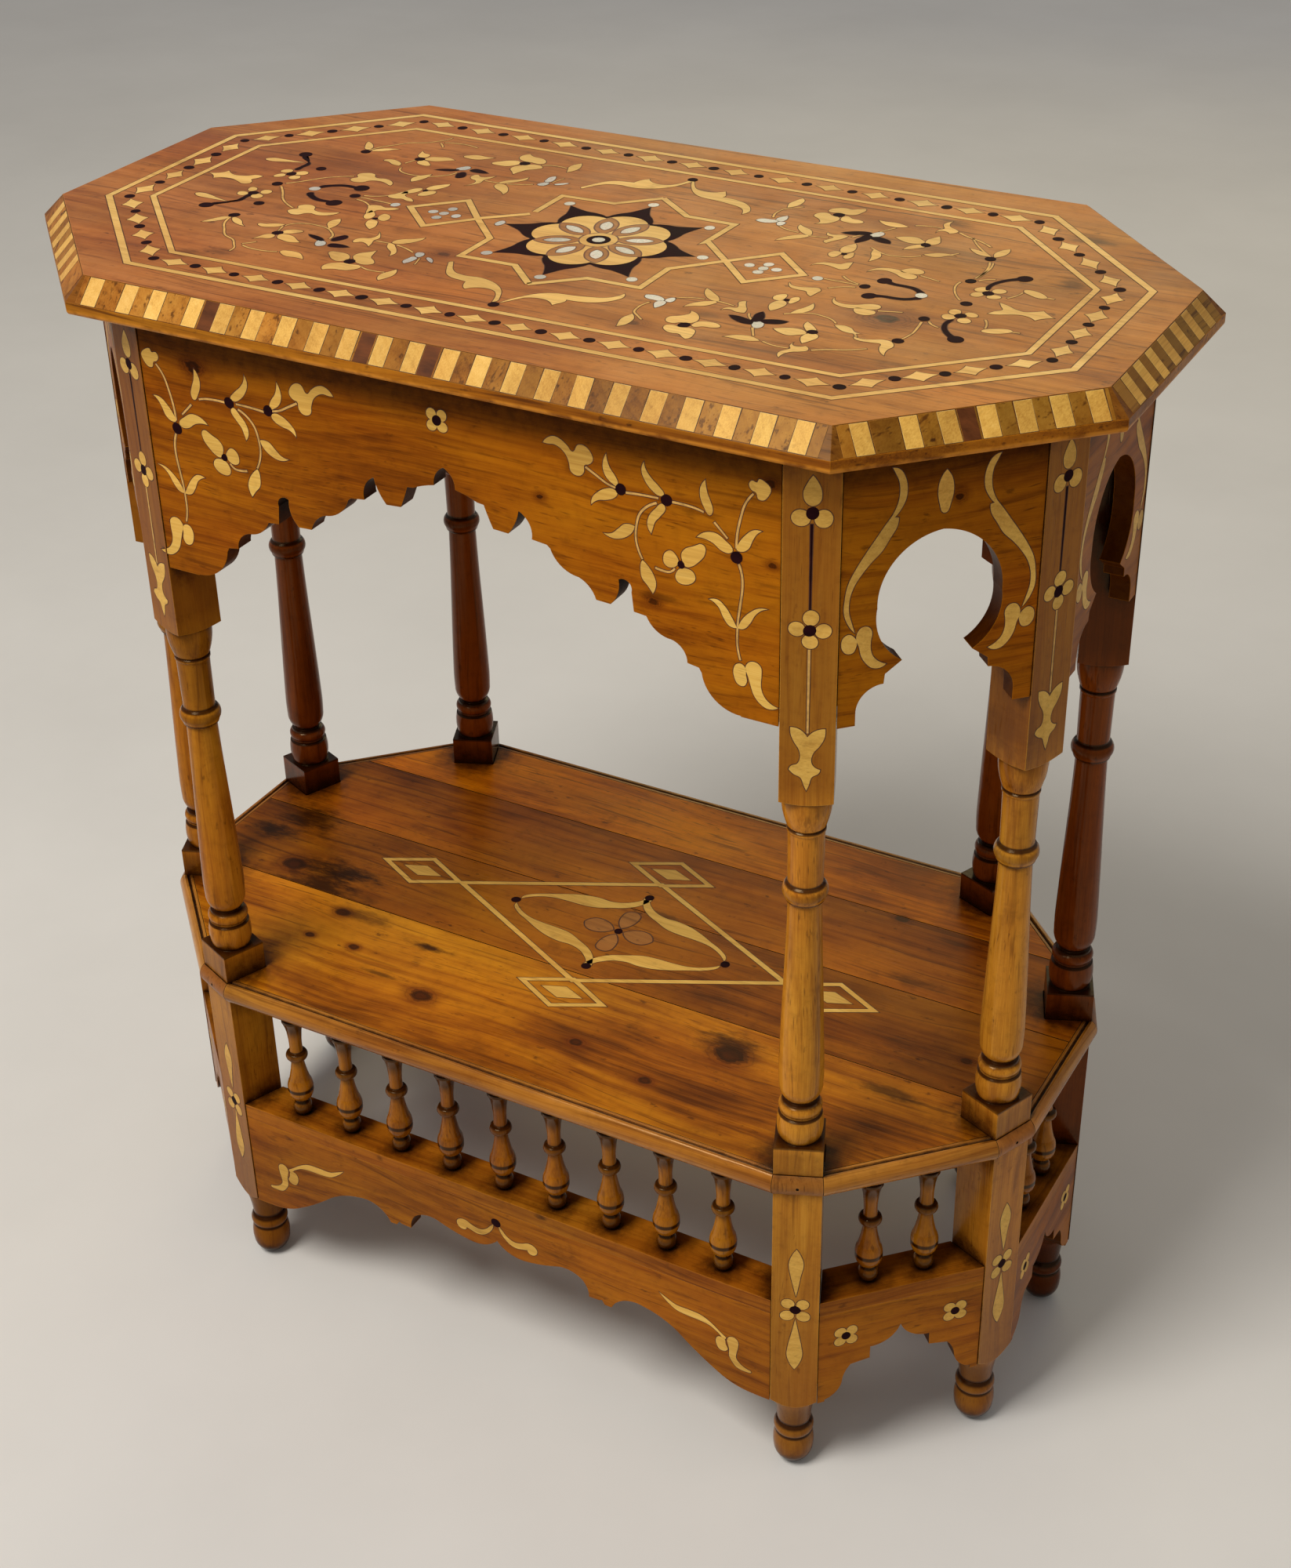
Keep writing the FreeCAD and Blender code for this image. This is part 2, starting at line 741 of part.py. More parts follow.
def make_slip(leg):
    """The short piece of moulding across the face of one leg."""
    x, y, facets = LEGS[leg]
    name = "slip_" + leg
    body = new_body(name, x, y, shelf_underside, facets, part=False)
    gap = cell("joint_gap") / 2
    section = [(px - half_stock, pz) if len(rest) == 0 else (px - half_stock, pz, rest[0] - half_stock, rest[1])
               for px, pz, *rest in strip_section(-gap)]
    lines = sketch_on(body, "YZ_Plane", [section], name + "_section")
    pad(body, lines, cell("leg_stock") * 2, name + "_length", both=True)
    outer = cell("strip_projection") + overrun
    far = cell("leg_stock") * 2
    ends = []
    for way in (1, -1):
        bound = [
            (half_stock - gap, -half_stock + gap),
            (half_stock - gap + outer * math.tan(mitre), -half_stock - outer),
            (far, -half_stock - outer),
            (far, -half_stock + gap),
        ]
        ends.append([(px * way, py) for px, py in bound])
    pocket(body, sketch_on(body, "XY_Plane", ends, name + "_end_lines"), name + "_ends")
    hole = [(ZERO, cell("shelf_thickness") / 2, cell("pin_radius") + cell("pin_clearance"))]
    pocket(body, sketch_on(body, "XZ_Plane", hole, name + "_pin_plan"), name + "_pin_hole")
    return body


def group(name, members):
    """Separate pieces of one kind that share a node."""
    compound = document.addObject("Part::Compound", name)
    compound.Label = name
    compound.Links = members
    parts.append(compound)
    return compound


def make_top():
    """One wide board: a rounded edge band below and a long bevel above it."""
    body = new_body("top_board", ZERO, ZERO, top_underside)
    length = half_length + cell("overhang_end")
    width = half_width + cell("overhang_side")
    across = half_diagonal + cell("overhang_corner")
    band = cell("top_thickness") - cell("bevel_drop")
    run = cell("bevel_width")
    low = sketch_on(body, "XY_Plane", [octagon(length, width, across)], "top_band_plan")
    pad(body, low, band, "top_band")
    outer = sketch_on(body, "XY_Plane", [octagon(length, width, across)], "bevel_foot_plan", band)
    inner = sketch_on(body, "XY_Plane", [octagon(length - run, width - run, across - run)], "bevel_head_plan",
                      cell("top_thickness"))
    bevel = body.newObject("PartDesign::AdditiveLoft", "top_bevel")
    bevel.Profile = outer
    bevel.Sections = [(inner, [""])]
    bevel.Ruled = True
    body.Tip = bevel
    document.recompute()
    edges = []
    for number, edge in enumerate(bevel.Shape.Edges, start=1):
        box = edge.BoundBox
        if abs(box.ZMax) < cell("edge_round").number / 2:
            edges.append("Edge%d" % number)
    rounding = body.newObject("PartDesign::Fillet", "top_edge_round")
    rounding.Base = (bevel, edges)
    rounding.Radius = cell("edge_round").number
    bind(rounding, "Radius", cell("edge_round"))
    body.Tip = rounding
    radius = cell("screw_radius") + cell("screw_clearance")
    holes = [(x, y, radius) for x, y in screw_places()]
    bores = sketch_on(body, "XY_Plane", holes, "top_pilot_plan")
    depth = cell("screw_length") - cell("top_batten_depth") + cell("screw_clearance")
    pocket(body, bores, "top_pilot_holes", depth, reverse=True)
    return body


# The battens, as shares of half the frame's length, and their screws, as a share of half
# the batten's length.
top_batten_share = 0.36
shelf_batten_share = 0.40
screw_share = 0.80
batten_half = half_width - cell("face_setback") - cell("apron_thickness") - cell("batten_end_gap")
shelf_batten_half = half_width - cell("baluster_inset") - cell("baluster_radius") * 2
shelf_batten_names = ("shelf_batten_left", "shelf_batten_right")


def screw_places():
    places = []
    count = numbers["batten_screws"]
    for way in (-1, 1):
        for step in range(count):
            across = -1 + 2 * step / (count - 1)
            places.append((half_length * (top_batten_share * way), batten_half * (screw_share * across)))
    return places


def make_top_batten(name, way):
    body = new_body(name, half_length * (top_batten_share * way), ZERO, top_underside - cell("top_batten_depth"))
    wide = cell("top_batten_width") / 2
    plan = [rectangle(-wide, wide, -batten_half, batten_half)]
    pad(body, sketch_on(body, "XY_Plane", plan, name + "_plan"), cell("top_batten_depth"), name + "_board")
    radius = cell("screw_radius") + cell("screw_clearance")
    holes = []
    for x, y in screw_places():
        if x.number * way > 0:
            holes.append((ZERO, y, radius))
    pocket(body, sketch_on(body, "XY_Plane", holes, name + "_hole_plan"), name + "_holes")
    clear = cell("screw_clearance")
    sinks = [(ZERO, y, cell("screw_head_radius") + clear) for x, y, r in
             [(hx, hy, hr) for hx, hy, hr in holes]]
    depth = cell("screw_head_depth") + clear
    pocket(body, sketch_on(body, "XY_Plane", sinks, name + "_sink_plan"), name + "_sinks", depth, reverse=True)
    return body


def make_shelf_batten(name, way):
    body = new_body(name, half_length * (shelf_batten_share * way), ZERO,
                    shelf_underside - cell("shelf_batten_depth"))
    wide = cell("shelf_batten_width") / 2
    plan = [rectangle(-wide, wide, -shelf_batten_half, shelf_batten_half)]
    pad(body, sketch_on(body, "XY_Plane", plan, name + "_plan"), cell("shelf_batten_depth"), name + "_board")
    return body


def make_screws():
    members = []
    low = top_underside - cell("top_batten_depth")
    for number, (x, y) in enumerate(screw_places(), start=1):
        shank = document.addObject("Part::Cylinder", "screw_%d_shank" % number)
        bind(shank, "Radius", cell("screw_radius"))
        bind(shank, "Height", cell("screw_length"))
        place(shank, x, y, low)
        head = document.addObject("Part::Cylinder", "screw_%d_head" % number)
        bind(head, "Radius", cell("screw_head_radius"))
        bind(head, "Height", cell("screw_head_depth"))
        place(head, x, y, low)
        screw = document.addObject("Part::Fuse", "screw_%d" % number)
        screw.Base = head
        screw.Tool = shank
        members.append(screw)
    return group("batten_screws", members)


def make_pins():
    """A plain pin through each slip into its leg, its end just under the moulding's face."""
    members = []
    level = shelf_underside + cell("shelf_thickness") / 2
    for name, (x, y, facets) in LEGS.items():
        angle = math.radians(facet_angle * facets)
        out_x = math.sin(angle)
        out_y = -math.cos(angle)
        reach = half_stock + cell("strip_projection") - cell("pin_radius")
        pin = document.addObject("Part::Cylinder", "pin_" + name)
        bind(pin, "Radius", cell("pin_radius"))
        bind(pin, "Height", cell("pin_length"))
        start_x = x + reach * out_x
        start_y = y + reach * out_y
        turn = Rotation(Vector(0, 0, 1), Vector(-out_x, -out_y, 0))
        pin.Placement = Placement(Vector(start_x.number, start_y.number, level.number), turn)
        bind(pin, "Placement.Base.x", start_x)
        bind(pin, "Placement.Base.y", start_y)
        bind(pin, "Placement.Base.z", level)
        members.append(pin)
    return group("slip_pins", members)


make_top()
make_top_batten("top_batten_left", -1)
make_top_batten("top_batten_right", 1)
make_screws()
for leg in LEGS:
    make_leg(leg)
for side in SIDES:
    is_long = SIDES[side][4] == "balusters_long"
    make_apron("upper_apron_" + side, side, top_underside, cell("apron_height"),
               long_upper_shares if is_long else short_upper_shares)
    make_apron("lower_apron_" + side, side, rail_underside, cell("lower_apron_height"),
               long_lower_shares if is_long else short_lower_shares)
    make_rail("gallery_rail_" + side, side)
    make_balusters("balusters_" + side, side)
    make_moulding("shelf_moulding_" + side, side)
seams = [cell("frame_width") * share for share in seam_shares]
edge = half_width - cell("strip_inset") - cell("joint_gap")
lows = [-edge] + [seam + cell("board_gap") / 2 for seam in seams]
highs = [seam - cell("board_gap") / 2 for seam in seams] + [edge]
for number, (low, high) in enumerate(zip(lows, highs), start=1):
    make_shelf_board("shelf_board_%d" % number, low, high)
make_shelf_batten("shelf_batten_left", -1)
make_shelf_batten("shelf_batten_right", 1)
group("moulding_slips", [make_slip(leg) for leg in LEGS])
make_pins()

document.recompute()
for item in document.Objects:
    if "Invalid" in item.State or "Error" in item.State:
        raise RuntimeError("%s did not compute: %s" % (item.Label, item.State))
for feature in cuts:
    if feature.Shape.Volume >= feature.BaseFeature.Shape.Volume:
        raise RuntimeError("%s cuts nothing" % feature.Label)
for part in parts:
    if part.Shape.isNull() or not part.Shape.isValid():
        raise RuntimeError("%s has no valid shape" % part.Label)

os.makedirs("parts", exist_ok=True)
for part in parts:
    part.Shape.exportStep("parts/%s.step" % part.Label)
print("%d parts" % len(parts))
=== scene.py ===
import bpy, math, random
import numpy as np
from mathutils import Matrix, Vector
from types import SimpleNamespace


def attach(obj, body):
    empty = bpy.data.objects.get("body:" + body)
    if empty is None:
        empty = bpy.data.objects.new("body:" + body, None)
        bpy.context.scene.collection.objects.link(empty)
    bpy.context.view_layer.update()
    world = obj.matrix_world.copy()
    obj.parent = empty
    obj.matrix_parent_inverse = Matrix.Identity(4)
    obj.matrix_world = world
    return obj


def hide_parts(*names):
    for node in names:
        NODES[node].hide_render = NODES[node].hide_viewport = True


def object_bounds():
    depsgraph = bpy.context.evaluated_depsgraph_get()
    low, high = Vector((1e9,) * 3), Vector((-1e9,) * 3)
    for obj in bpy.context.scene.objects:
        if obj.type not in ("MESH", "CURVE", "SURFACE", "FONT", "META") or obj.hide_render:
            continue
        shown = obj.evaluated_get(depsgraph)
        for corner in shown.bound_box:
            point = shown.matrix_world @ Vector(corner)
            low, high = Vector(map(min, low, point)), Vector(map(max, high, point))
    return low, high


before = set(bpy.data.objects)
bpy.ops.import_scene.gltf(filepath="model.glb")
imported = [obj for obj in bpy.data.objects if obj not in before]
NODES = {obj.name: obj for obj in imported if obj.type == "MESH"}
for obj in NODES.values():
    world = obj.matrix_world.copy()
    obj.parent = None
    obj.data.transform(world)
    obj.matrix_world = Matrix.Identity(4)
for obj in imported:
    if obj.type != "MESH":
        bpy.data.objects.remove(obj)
size_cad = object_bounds()
chance = random.Random(7)

# the camera, fitted to the photo: angles in degrees, place in metres, lens and sensor in mm
AZIMUTH, ELEVATION, ROLL = 29.493, 32.469, -1.243
CAMERA_AT = (0.66329, -1.13096, 1.20534)
FOCAL_LENGTH, SENSOR = 54.64, 36
# each lamp: name, place, aim and size in metres, watts, colour
LAMPS = (("key", (-0.55, -1.51, 2.79), (0, 0, 0.45), (1.1, 1.1), 64, (1.0, 0.975, 0.93)),
         ("back", (-0.6, 2.6, 1.75), (0.1, 0, 0.7), (1.8, 0.9), 8, (1.0, 0.84, 0.42)))
ROOM_LIGHT, ROOM_COLOUR = 0.31, (1.0, 0.99, 0.98, 1)
FLOOR_REACH, FLOOR_DROP = 30, 0.0004

# sizes of the part in mm, the first three from the frame
HALF_LENGTH, HALF_WIDTH, TOP = (round(1000 * c, 1) for c in size_cad[1])
TOP_SET_DOWN = 0.12
TOP_LIP_FOOT = 719.5
EDGE_RUN, EDGE_RISE = 12.4, 12.8
CORNER_EDGE, CORNER_EDGE_MIDDLE = 298.2, 110.4
FRONT_EDGE_HALF, CORNER_EDGE_HALF, END_EDGE_HALF = 234.1, 77.5, 78.0
SHELF_FACE = 253
LONG_APRON_FACE, END_APRON_FACE, CORNER_APRON_FACE, CORNER_APRON_MIDDLE = 170.2, 317.0, 273.7, 103.8
# the legs of one quarter: x, y and the angle at which the outer face is turned
LEGS = ((209.09, 151.43, 22.5), (298.23, 62.29, 67.5))
LEG_FACE = 14.75
QUARTERS = ((1, 1), (1, -1), (-1, 1), (-1, -1))
# the corner sides by their angle, and which way the middle of each lies along its face
CORNERS = {45: 1, 135: -1, 225: 1, 315: -1}


# colours, camera, lamps and floor

def rgb(*screen):
    """A colour given in the 0-255 values seen on a screen, as a shader value."""
    shares = [c / 255 for c in screen]
    return tuple(c / 12.92 if c <= 0.04045 else ((c + 0.055) / 1.055) ** 2.4 for c in shares) + (1.0,)


def grey(value):
    return (value, value, value, 1)


def add(name, data):
    """A new object of the scene."""
    piece = bpy.data.objects.new(name, data)
    bpy.context.scene.collection.objects.link(piece)
    return piece


def set_camera():
    azimuth, elevation, roll = (math.radians(a) for a in (AZIMUTH, ELEVATION, ROLL))
    level = math.cos(elevation)
    back = Vector((math.sin(azimuth) * level, -math.cos(azimuth) * level, math.sin(elevation)))
    right = Vector((math.cos(azimuth), math.sin(azimuth), 0))
    up = back.cross(right)
    turned_right = right * math.cos(roll) + up * math.sin(roll)
    turned_up = up * math.cos(roll) - right * math.sin(roll)
    data = bpy.data.cameras.new("camera")
    data.sensor_width = SENSOR
    data.sensor_fit = "AUTO"
    data.lens = FOCAL_LENGTH
    camera = add("camera", data)
    pose = Matrix((turned_right, turned_up, back)).transposed().to_4x4()
    pose.translation = CAMERA_AT
    camera.matrix_world = pose
    bpy.context.scene.camera = camera


def set_light():
    world = bpy.data.worlds.new("studio")
    bpy.context.scene.world = world
    world.use_nodes = True
    room = world.node_tree.nodes["Background"]
    room.inputs["Color"].default_value = ROOM_COLOUR
    room.inputs["Strength"].default_value = ROOM_LIGHT
    for name, at, to, size, watts, colour in LAMPS:
        data = bpy.data.lights.new(name, "AREA")
        data.shape, data.size, data.size_y = "RECTANGLE", *size
        data.energy, data.color = watts, colour
        lamp = add(name, data)
        lamp.location = at
        lamp.rotation_euler = (Vector(to) - Vector(at)).to_track_quat("-Z", "Y").to_euler()


def set_floor():
    paint = Tree("floor_paint")
    cloud = paint.noise(paint.place, scale=3.0, detail=5, rough=0.6)
    tint = paint.ramp(cloud, [(0.3, rgb(222, 218, 212)), (0.7, rgb(229, 225, 219))])
    paint.fill(paint.bsdf, {"Base Color": tint, "Roughness": 0.9})
    r, z = FLOOR_REACH, -FLOOR_DROP
    mesh = bpy.data.meshes.new("floor")
    mesh.from_pydata([(-r, -r, z), (r, -r, z), (r, r, z), (-r, r, z)], [], [(0, 1, 2, 3)])
    mesh.materials.append(paint.mat)
    add("floor", mesh)


# materials

class Tree:
    """Short names for making the shader nodes of one material; its mean colour is in screen values."""

    def __init__(self, name, mean=(0, 0, 0)):
        self.mat = bpy.data.materials.new(name)
        self.mat.use_nodes = True
        self.tree = self.mat.node_tree
        self.bsdf = self.tree.nodes["Principled BSDF"]
        self.mean = mean
        self.place = self.new("TexCoord", {}, "Object")

    def fill(self, node, values):
        for key, value in values.items():
            if isinstance(value, bpy.types.NodeSocket):
                self.tree.links.new(value, node.inputs[key])
            else:
                node.inputs[key].default_value = value

    def new(self, kind, values, output=0, **settings):
        """The output of a new node with those inputs and settings."""
        node = self.tree.nodes.new("ShaderNode" + kind)
        for key, value in settings.items():
            setattr(node, key, value)
        self.fill(node, values)
        return node.outputs[output]

    def math(self, operation, *values, clamp=False):
        return self.new("Math", dict(enumerate(values)), operation=operation, use_clamp=clamp)

    def vec(self, operation, a, b=(0, 0, 0)):
        output = "Value" if operation in ("LENGTH", "DOT_PRODUCT") else "Vector"
        values = {0: a, "Scale" if operation == "SCALE" else 1: b}
        return self.new("VectorMath", values, output, operation=operation)

    def mapping(self, vector, loc=(0, 0, 0), rot=(0, 0, 0), scale=(1, 1, 1)):
        return self.new("Mapping", {"Vector": vector, "Location": loc, "Rotation": rot, "Scale": scale})

    def noise(self, vector, scale=1, detail=3, rough=0.5, distort=0, colour=False):
        values = {"Vector": vector, "Scale": scale, "Detail": detail, "Roughness": rough,
                  "Distortion": distort}
        return self.new("TexNoise", values, "Color" if colour else "Fac")

    def ramp(self, value, stops):
        colour = self.new("ValToRGB", {0: value})
        elements = colour.node.color_ramp.elements
        while len(elements) < len(stops):
            elements.new(0.5)
        for element, (position, tint) in zip(elements, stops):
            element.position = position
            element.color = tint
        return colour

    def span(self, value, start, end, low=0.0, high=1.0):
        """A soft step from low to high between the two values."""
        values = {"Value": value, "From Min": start, "From Max": end, "To Min": low, "To Max": high}
        return self.new("MapRange", values, interpolation_type="SMOOTHSTEP")

    def fade(self, value, start, end, strength=1.0):
        return self.span(value, start, end, strength, 0.0)

    def times(self, a, b):
        return self.math("MULTIPLY", a, b)

    def sway(self, value, noise, size):
        """The value, moved up and down by a noise over that size in all."""
        return self.math("ADD", value, self.math("MULTIPLY_ADD", noise, size, -size / 2))

    def near(self, value, middle, start, end, strength):
        """Full strength at the middle, none beyond the end on either side."""
        away = self.math("ABSOLUTE", self.math("SUBTRACT", value, middle))
        return self.fade(away, start, end, strength)

    def mix(self, share, a, b, blend="MIX"):
        return self.new("Mix", {0: share, 6: a, 7: b}, 2, data_type="RGBA", blend_type=blend)

    def by_plate(self, colour, low, high):
        """The colour, a little different from one loose plate to the next."""
        each = self.new("NewGeometry", {}, "Random Per Island")
        return self.mix(1.0, colour, self.ramp(each, [(0, low), (1, high)]), "MULTIPLY")

    def tone(self, *shares):
        """The mean colour with each of its three values times its share."""
        return rgb(*(min(255, value * share) for value, share in zip(self.mean, shares)))

    def bump(self, height, strength, distance, normal=None):
        values = {"Height": height, "Strength": strength, "Distance": distance}
        return self.new("Bump", values if normal is None else {**values, "Normal": normal})


# what a wood can be told, in metres and shares of full strength
WOOD = dict(
    turn=(0, 0, 0), seed=0.0,  # how the grain is turned, and which piece of the log it is
    ring=0.0075, wander=0.026,  # the distance between growth rings, and how far they wander
    contrast=1.0, fibre=1.0, patch=1.0, red=1.0, lines=1.0,  # strength of each layer of the grain
    drift=None,  # two tints of painted light and shade, at the left front and at the right back
    knots=(), ragged=1.8, halo=3.4,  # knots: x, y, z, radius, strength; how ragged, how wide a halo
    smudges=(),  # dark marks, some of them smudges and some painted shade: x, y, z, half length, half width, strength
    cracks=(),  # along X: start, end, y, half width, strength
    bands=(), worn=(),  # dark lines of grooves and painted shade, and light lines of wear and painted light, at a height: z, half height, strength
    foot=0.0, high=0.0,  # darkening of the leg's foot, and painted shade on its block under the top
    island=0.0,  # how much one loose plate differs from the next
    rim=None,  # outward normal of a sawn board, whose narrow faces are dark
    edge=0.0007, crease=0.8, reach=0.016,  # width of the rubbed edges, dark wax and painted shade in the creases, its reach
    rough=0.38, coat=0.03, gloss=0.28)
VARNISH_TINT, COAT_TINT, COAT_ROUGH = (1.0, 0.74, 0.42, 1), (1.0, 0.93, 0.82, 1), 0.22
FOOT_FROM, FOOT_TO = 0.04, 0.30
BLOCK_FROM, BLOCK_TO = 0.500, 0.530


class Wood(Tree):
    """Old waxed wood with its grain along local X after the turn."""

    def __init__(self, name, mean, given):
        super().__init__(name, mean)
        self.set = SimpleNamespace(**{**WOOD, **given})
        self.deep = self.tone(0.26, 0.17, 0.14)
        self.x, self.y, self.z = self.new("SeparateXYZ", {0: self.place}).node.outputs

    def along(self, vector, length, width, detail, rough=0.5, shift=(0, 0, 0)):
        """Noise drawn out along the grain; length and width are waves for each metre."""
        drawn = self.mapping(vector, loc=shift, scale=(length, width, width))
        return self.noise(drawn, detail=detail, rough=rough)

    def ragged(self, scale, rough, length, width):
        """The noise that makes the outline of a mark ragged."""
        turned = self.mapping(self.place, rot=self.set.turn, scale=(length, width, width))
        return self.noise(turned, scale=scale, detail=4, rough=rough)

    def stain(self, mask, *shares):
        self.col = self.mix(mask, self.col, self.tone(*shares))

    def darken(self, mask):
        self.col = self.mix(mask, self.col, self.deep)

    def grain(self):
        """Growth rings, streaks, fibres and cloudy patches, with a change of hue and a drift of tint that
        paints light and shade across the piece.
        """
        told = self.set
        along = self.mapping(self.place, rot=told.turn)
        along = self.vec("ADD", along, (0.37 * told.seed, 0.053 * told.seed, 0.031 * told.seed))
        warp = self.noise(self.mapping(along, scale=(5, 14, 14)), detail=2, colour=True)
        warp = self.vec("SCALE", self.vec("SUBTRACT", warp, (0.5, 0.5, 0.5)), told.wander)
        wavy = self.vec("ADD", along, warp)
        values = {"Vector": self.mapping(wavy, loc=(0, 0.021, 0.055), scale=(0.13, 1, 1)),
                  "Scale": 0.314 / told.ring, "Distortion": 3, "Detail": 2, "Detail Scale": 0.8}
        rings = self.new("TexWave", values, "Fac", wave_type="RINGS", rings_direction="X", wave_profile="SAW")
        late = self.ramp(rings, [(0, grey(0.58)), (0.15, grey(0.64)), (0.6, grey(0.52)), (0.88, grey(0.2)),
                                 (1, grey(0.5))])
        self.along_grain, self.wavy = along, wavy
        self.streak = self.along(wavy, 5, 130, 3, 0.62)
        self.fine = self.along(along, 26, 1300, 2, 0.6)
        cloud = self.along(along, 5, 11, 4, 0.6)
        hue = self.along(along, 8, 20, 2, shift=(3, 1, 2))
        depth = self.math("MULTIPLY_ADD", late, 0.22 * told.contrast, 0.5 - 0.11 * told.contrast)
        for layer, size in ((self.streak, 0.60 * told.contrast), (self.fine, 0.36 * told.fibre),
                            (cloud, told.patch)):
            depth = self.sway(depth, layer, size)
        self.col = self.ramp(depth, [(0.06, self.tone(0.50, 0.40, 0.30)), (0.32, self.tone(0.82, 0.75, 0.64)),
                                     (0.53, self.tone(1, 1, 1)), (0.86, self.tone(1.16, 1.24, 1.5))])
        tint = self.ramp(hue, [(0.32, (1.08, 0.94, 0.80, 1)), (0.68, (0.94, 1.05, 1.06, 1))])
        self.col = self.mix(0.6 * told.red, self.col, tint, "MULTIPLY")
        # painted light and shade: a tint that changes from the left front to the right back
        if told.drift:
            across = self.sway(self.vec("DOT_PRODUCT", self.place, (1.0, 0.5, 0)), cloud, 0.2)
            tints = self.ramp(self.span(across, -0.32, 0.32), list(enumerate(told.drift)))
            self.col = self.mix(1.0, self.col, tints, "MULTIPLY")

    def pores(self):
        """Thin dark lines, pores, grime and flecks."""
        lines = self.set.lines
        thin = self.along(self.wavy, 3.5, 330, 2, shift=(1.7, 0, 0))
        self.stain(self.span(thin, 0.57, 0.72, 0.0, 0.42 * lines), 0.46, 0.34, 0.24)
        cells = {"Vector": self.mapping(self.wavy, scale=(48, 620, 620)), "Scale": 1}
        pore = self.fade(self.new("TexVoronoi", cells, "Distance"), 0.05, 0.30, 0.55 * min(1.0, lines))
        self.pit = self.times(pore, self.span(self.along(self.wavy, 8, 30, 1), 0.42, 0.62))
        self.stain(self.pit, 0.38, 0.28, 0.2)
        grime = self.noise(self.place, scale=38, detail=4, rough=0.65)
        self.stain(self.span(grime, 0.58, 0.78, 0.0, 0.36), 0.45, 0.36, 0.3)
        fleck = self.mapping(self.along_grain, scale=(0.6, 1.3, 1.3))
        fleck = self.noise(fleck, scale=150, detail=3, rough=0.6)
        self.stain(self.span(fleck, 0.63, 0.76, 0.0, 0.5 * lines), 0.36, 0.25, 0.2)

    def knots(self):
        """Round knots: a dark halo with rings, a black edge and a browner core."""
        told = self.set
        for x, y, z, radius, strength in told.knots:
            at = self.mapping(self.vec("SUBTRACT", self.place, (x, y, z)), rot=told.turn, scale=(0.72, 1, 1))
            away = self.sway(self.vec("LENGTH", at), self.ragged(230, 0.65, 0.6, 1.2), radius * told.ragged)
            self.stain(self.fade(away, radius * 0.8, radius * told.halo, 0.75 * strength), 0.62, 0.44, 0.32)
            wave = self.span(self.math("SINE", self.times(away, 15.0 / radius)), 0.2, 1.0)
            rings = self.fade(away, radius, radius * 0.7 * told.halo, 0.55 * strength)
            self.stain(self.times(wave, rings), 0.4, 0.28, 0.2)
            self.darken(self.fade(away, radius * 0.72, radius * 1.02, 0.95 * strength))
            self.stain(self.fade(away, radius * 0.25, radius * 0.6, 0.5 * strength), 0.5, 0.34, 0.26)

    def marks(self):
        """Smudges, patches of painted shade, and cracks."""
        for x, y, z, length, width, strength in self.set.smudges:
            at = self.mapping(self.vec("SUBTRACT", self.place, (x, y, z)), rot=self.set.turn,
                              scale=(1 / length, 1 / width, 1 / width))
            away = self.sway(self.vec("LENGTH", at), self.ragged(110, 0.7, 0.5, 1.3), 2.0)
            self.darken(self.fade(away, 0.1, 1.1, strength))
        for start, end, y, half, strength in self.set.cracks:
            level = self.sway(self.y, self.noise(self.mapping(self.place, scale=(30, 4, 4)), detail=2), 0.006)
            inside = self.times(self.span(self.x, start, start + 0.012), self.fade(self.x, end - 0.012, end))
            self.darken(self.times(self.near(level, y, half * 0.4, half * 1.4, strength), inside))

    def heights(self):
        """The darker foot of a leg and the painted shade on its block, the tint of each plate, and a board's
        dark narrow faces.
        """
        told = self.set
        if told.foot:
            self.stain(self.fade(self.z, FOOT_FROM, FOOT_TO, told.foot), 0.60, 0.47, 0.2)
        # painted shade on the leg's block under the top
        if told.high:
            self.stain(self.span(self.z, BLOCK_FROM, BLOCK_TO, 0.0, told.high), 0.62, 0.50, 0.22)
        if told.island:
            darkest = tuple(1 - share * told.island for share in (1, 1.15, 1.4)) + (1,)
            lightest = tuple(1 + share * told.island for share in (0.6, 0.6, 0.5)) + (1,)
            self.col = self.by_plate(self.col, darkest, lightest)
        if told.rim:
            out = self.vec("DOT_PRODUCT", self.new("NewGeometry", {}, "Normal"), told.rim)
            self.stain(self.fade(self.math("ABSOLUTE", out), 0.35, 0.85, 0.85), 0.28, 0.16, 0.12)

    def wear(self):
        """Edges rubbed lighter, dark wax and painted shade in the creases and under overhangs, and light or
        dark lines at a height, some of them painted light and shade.
        """
        told = self.set
        self.soft = self.new("Bevel", {"Radius": told.edge}, samples=4) if told.edge else None
        if told.crease:
            # the darkening by ambient occlusion below is dark wax in the creases and also painted shade in
            # recesses and under overhangs, such as under the top
            open_sky = self.new("AmbientOcclusion", {"Distance": told.reach}, "AO", samples=5)
            bare = self.sway(open_sky, self.noise(self.place, scale=130, detail=3, rough=0.65), -0.5)
            if told.edge:
                turned = self.vec("DOT_PRODUCT", self.soft, self.new("NewGeometry", {}, "Normal"))
                rubbed = self.times(self.fade(turned, 0.90, 0.995, 0.75), self.span(bare, 0.82, 0.98))
                self.stain(rubbed, 1.25, 1.35, 1.7)
            self.stain(self.fade(bare, 0.58, 1.04, min(1.0, 1.1 * told.crease)), 0.44, 0.28, 0.16)
            self.stain(self.fade(bare, 0.46, 0.86, min(1.0, 1.2 * told.crease)), 0.13, 0.07, 0.07)
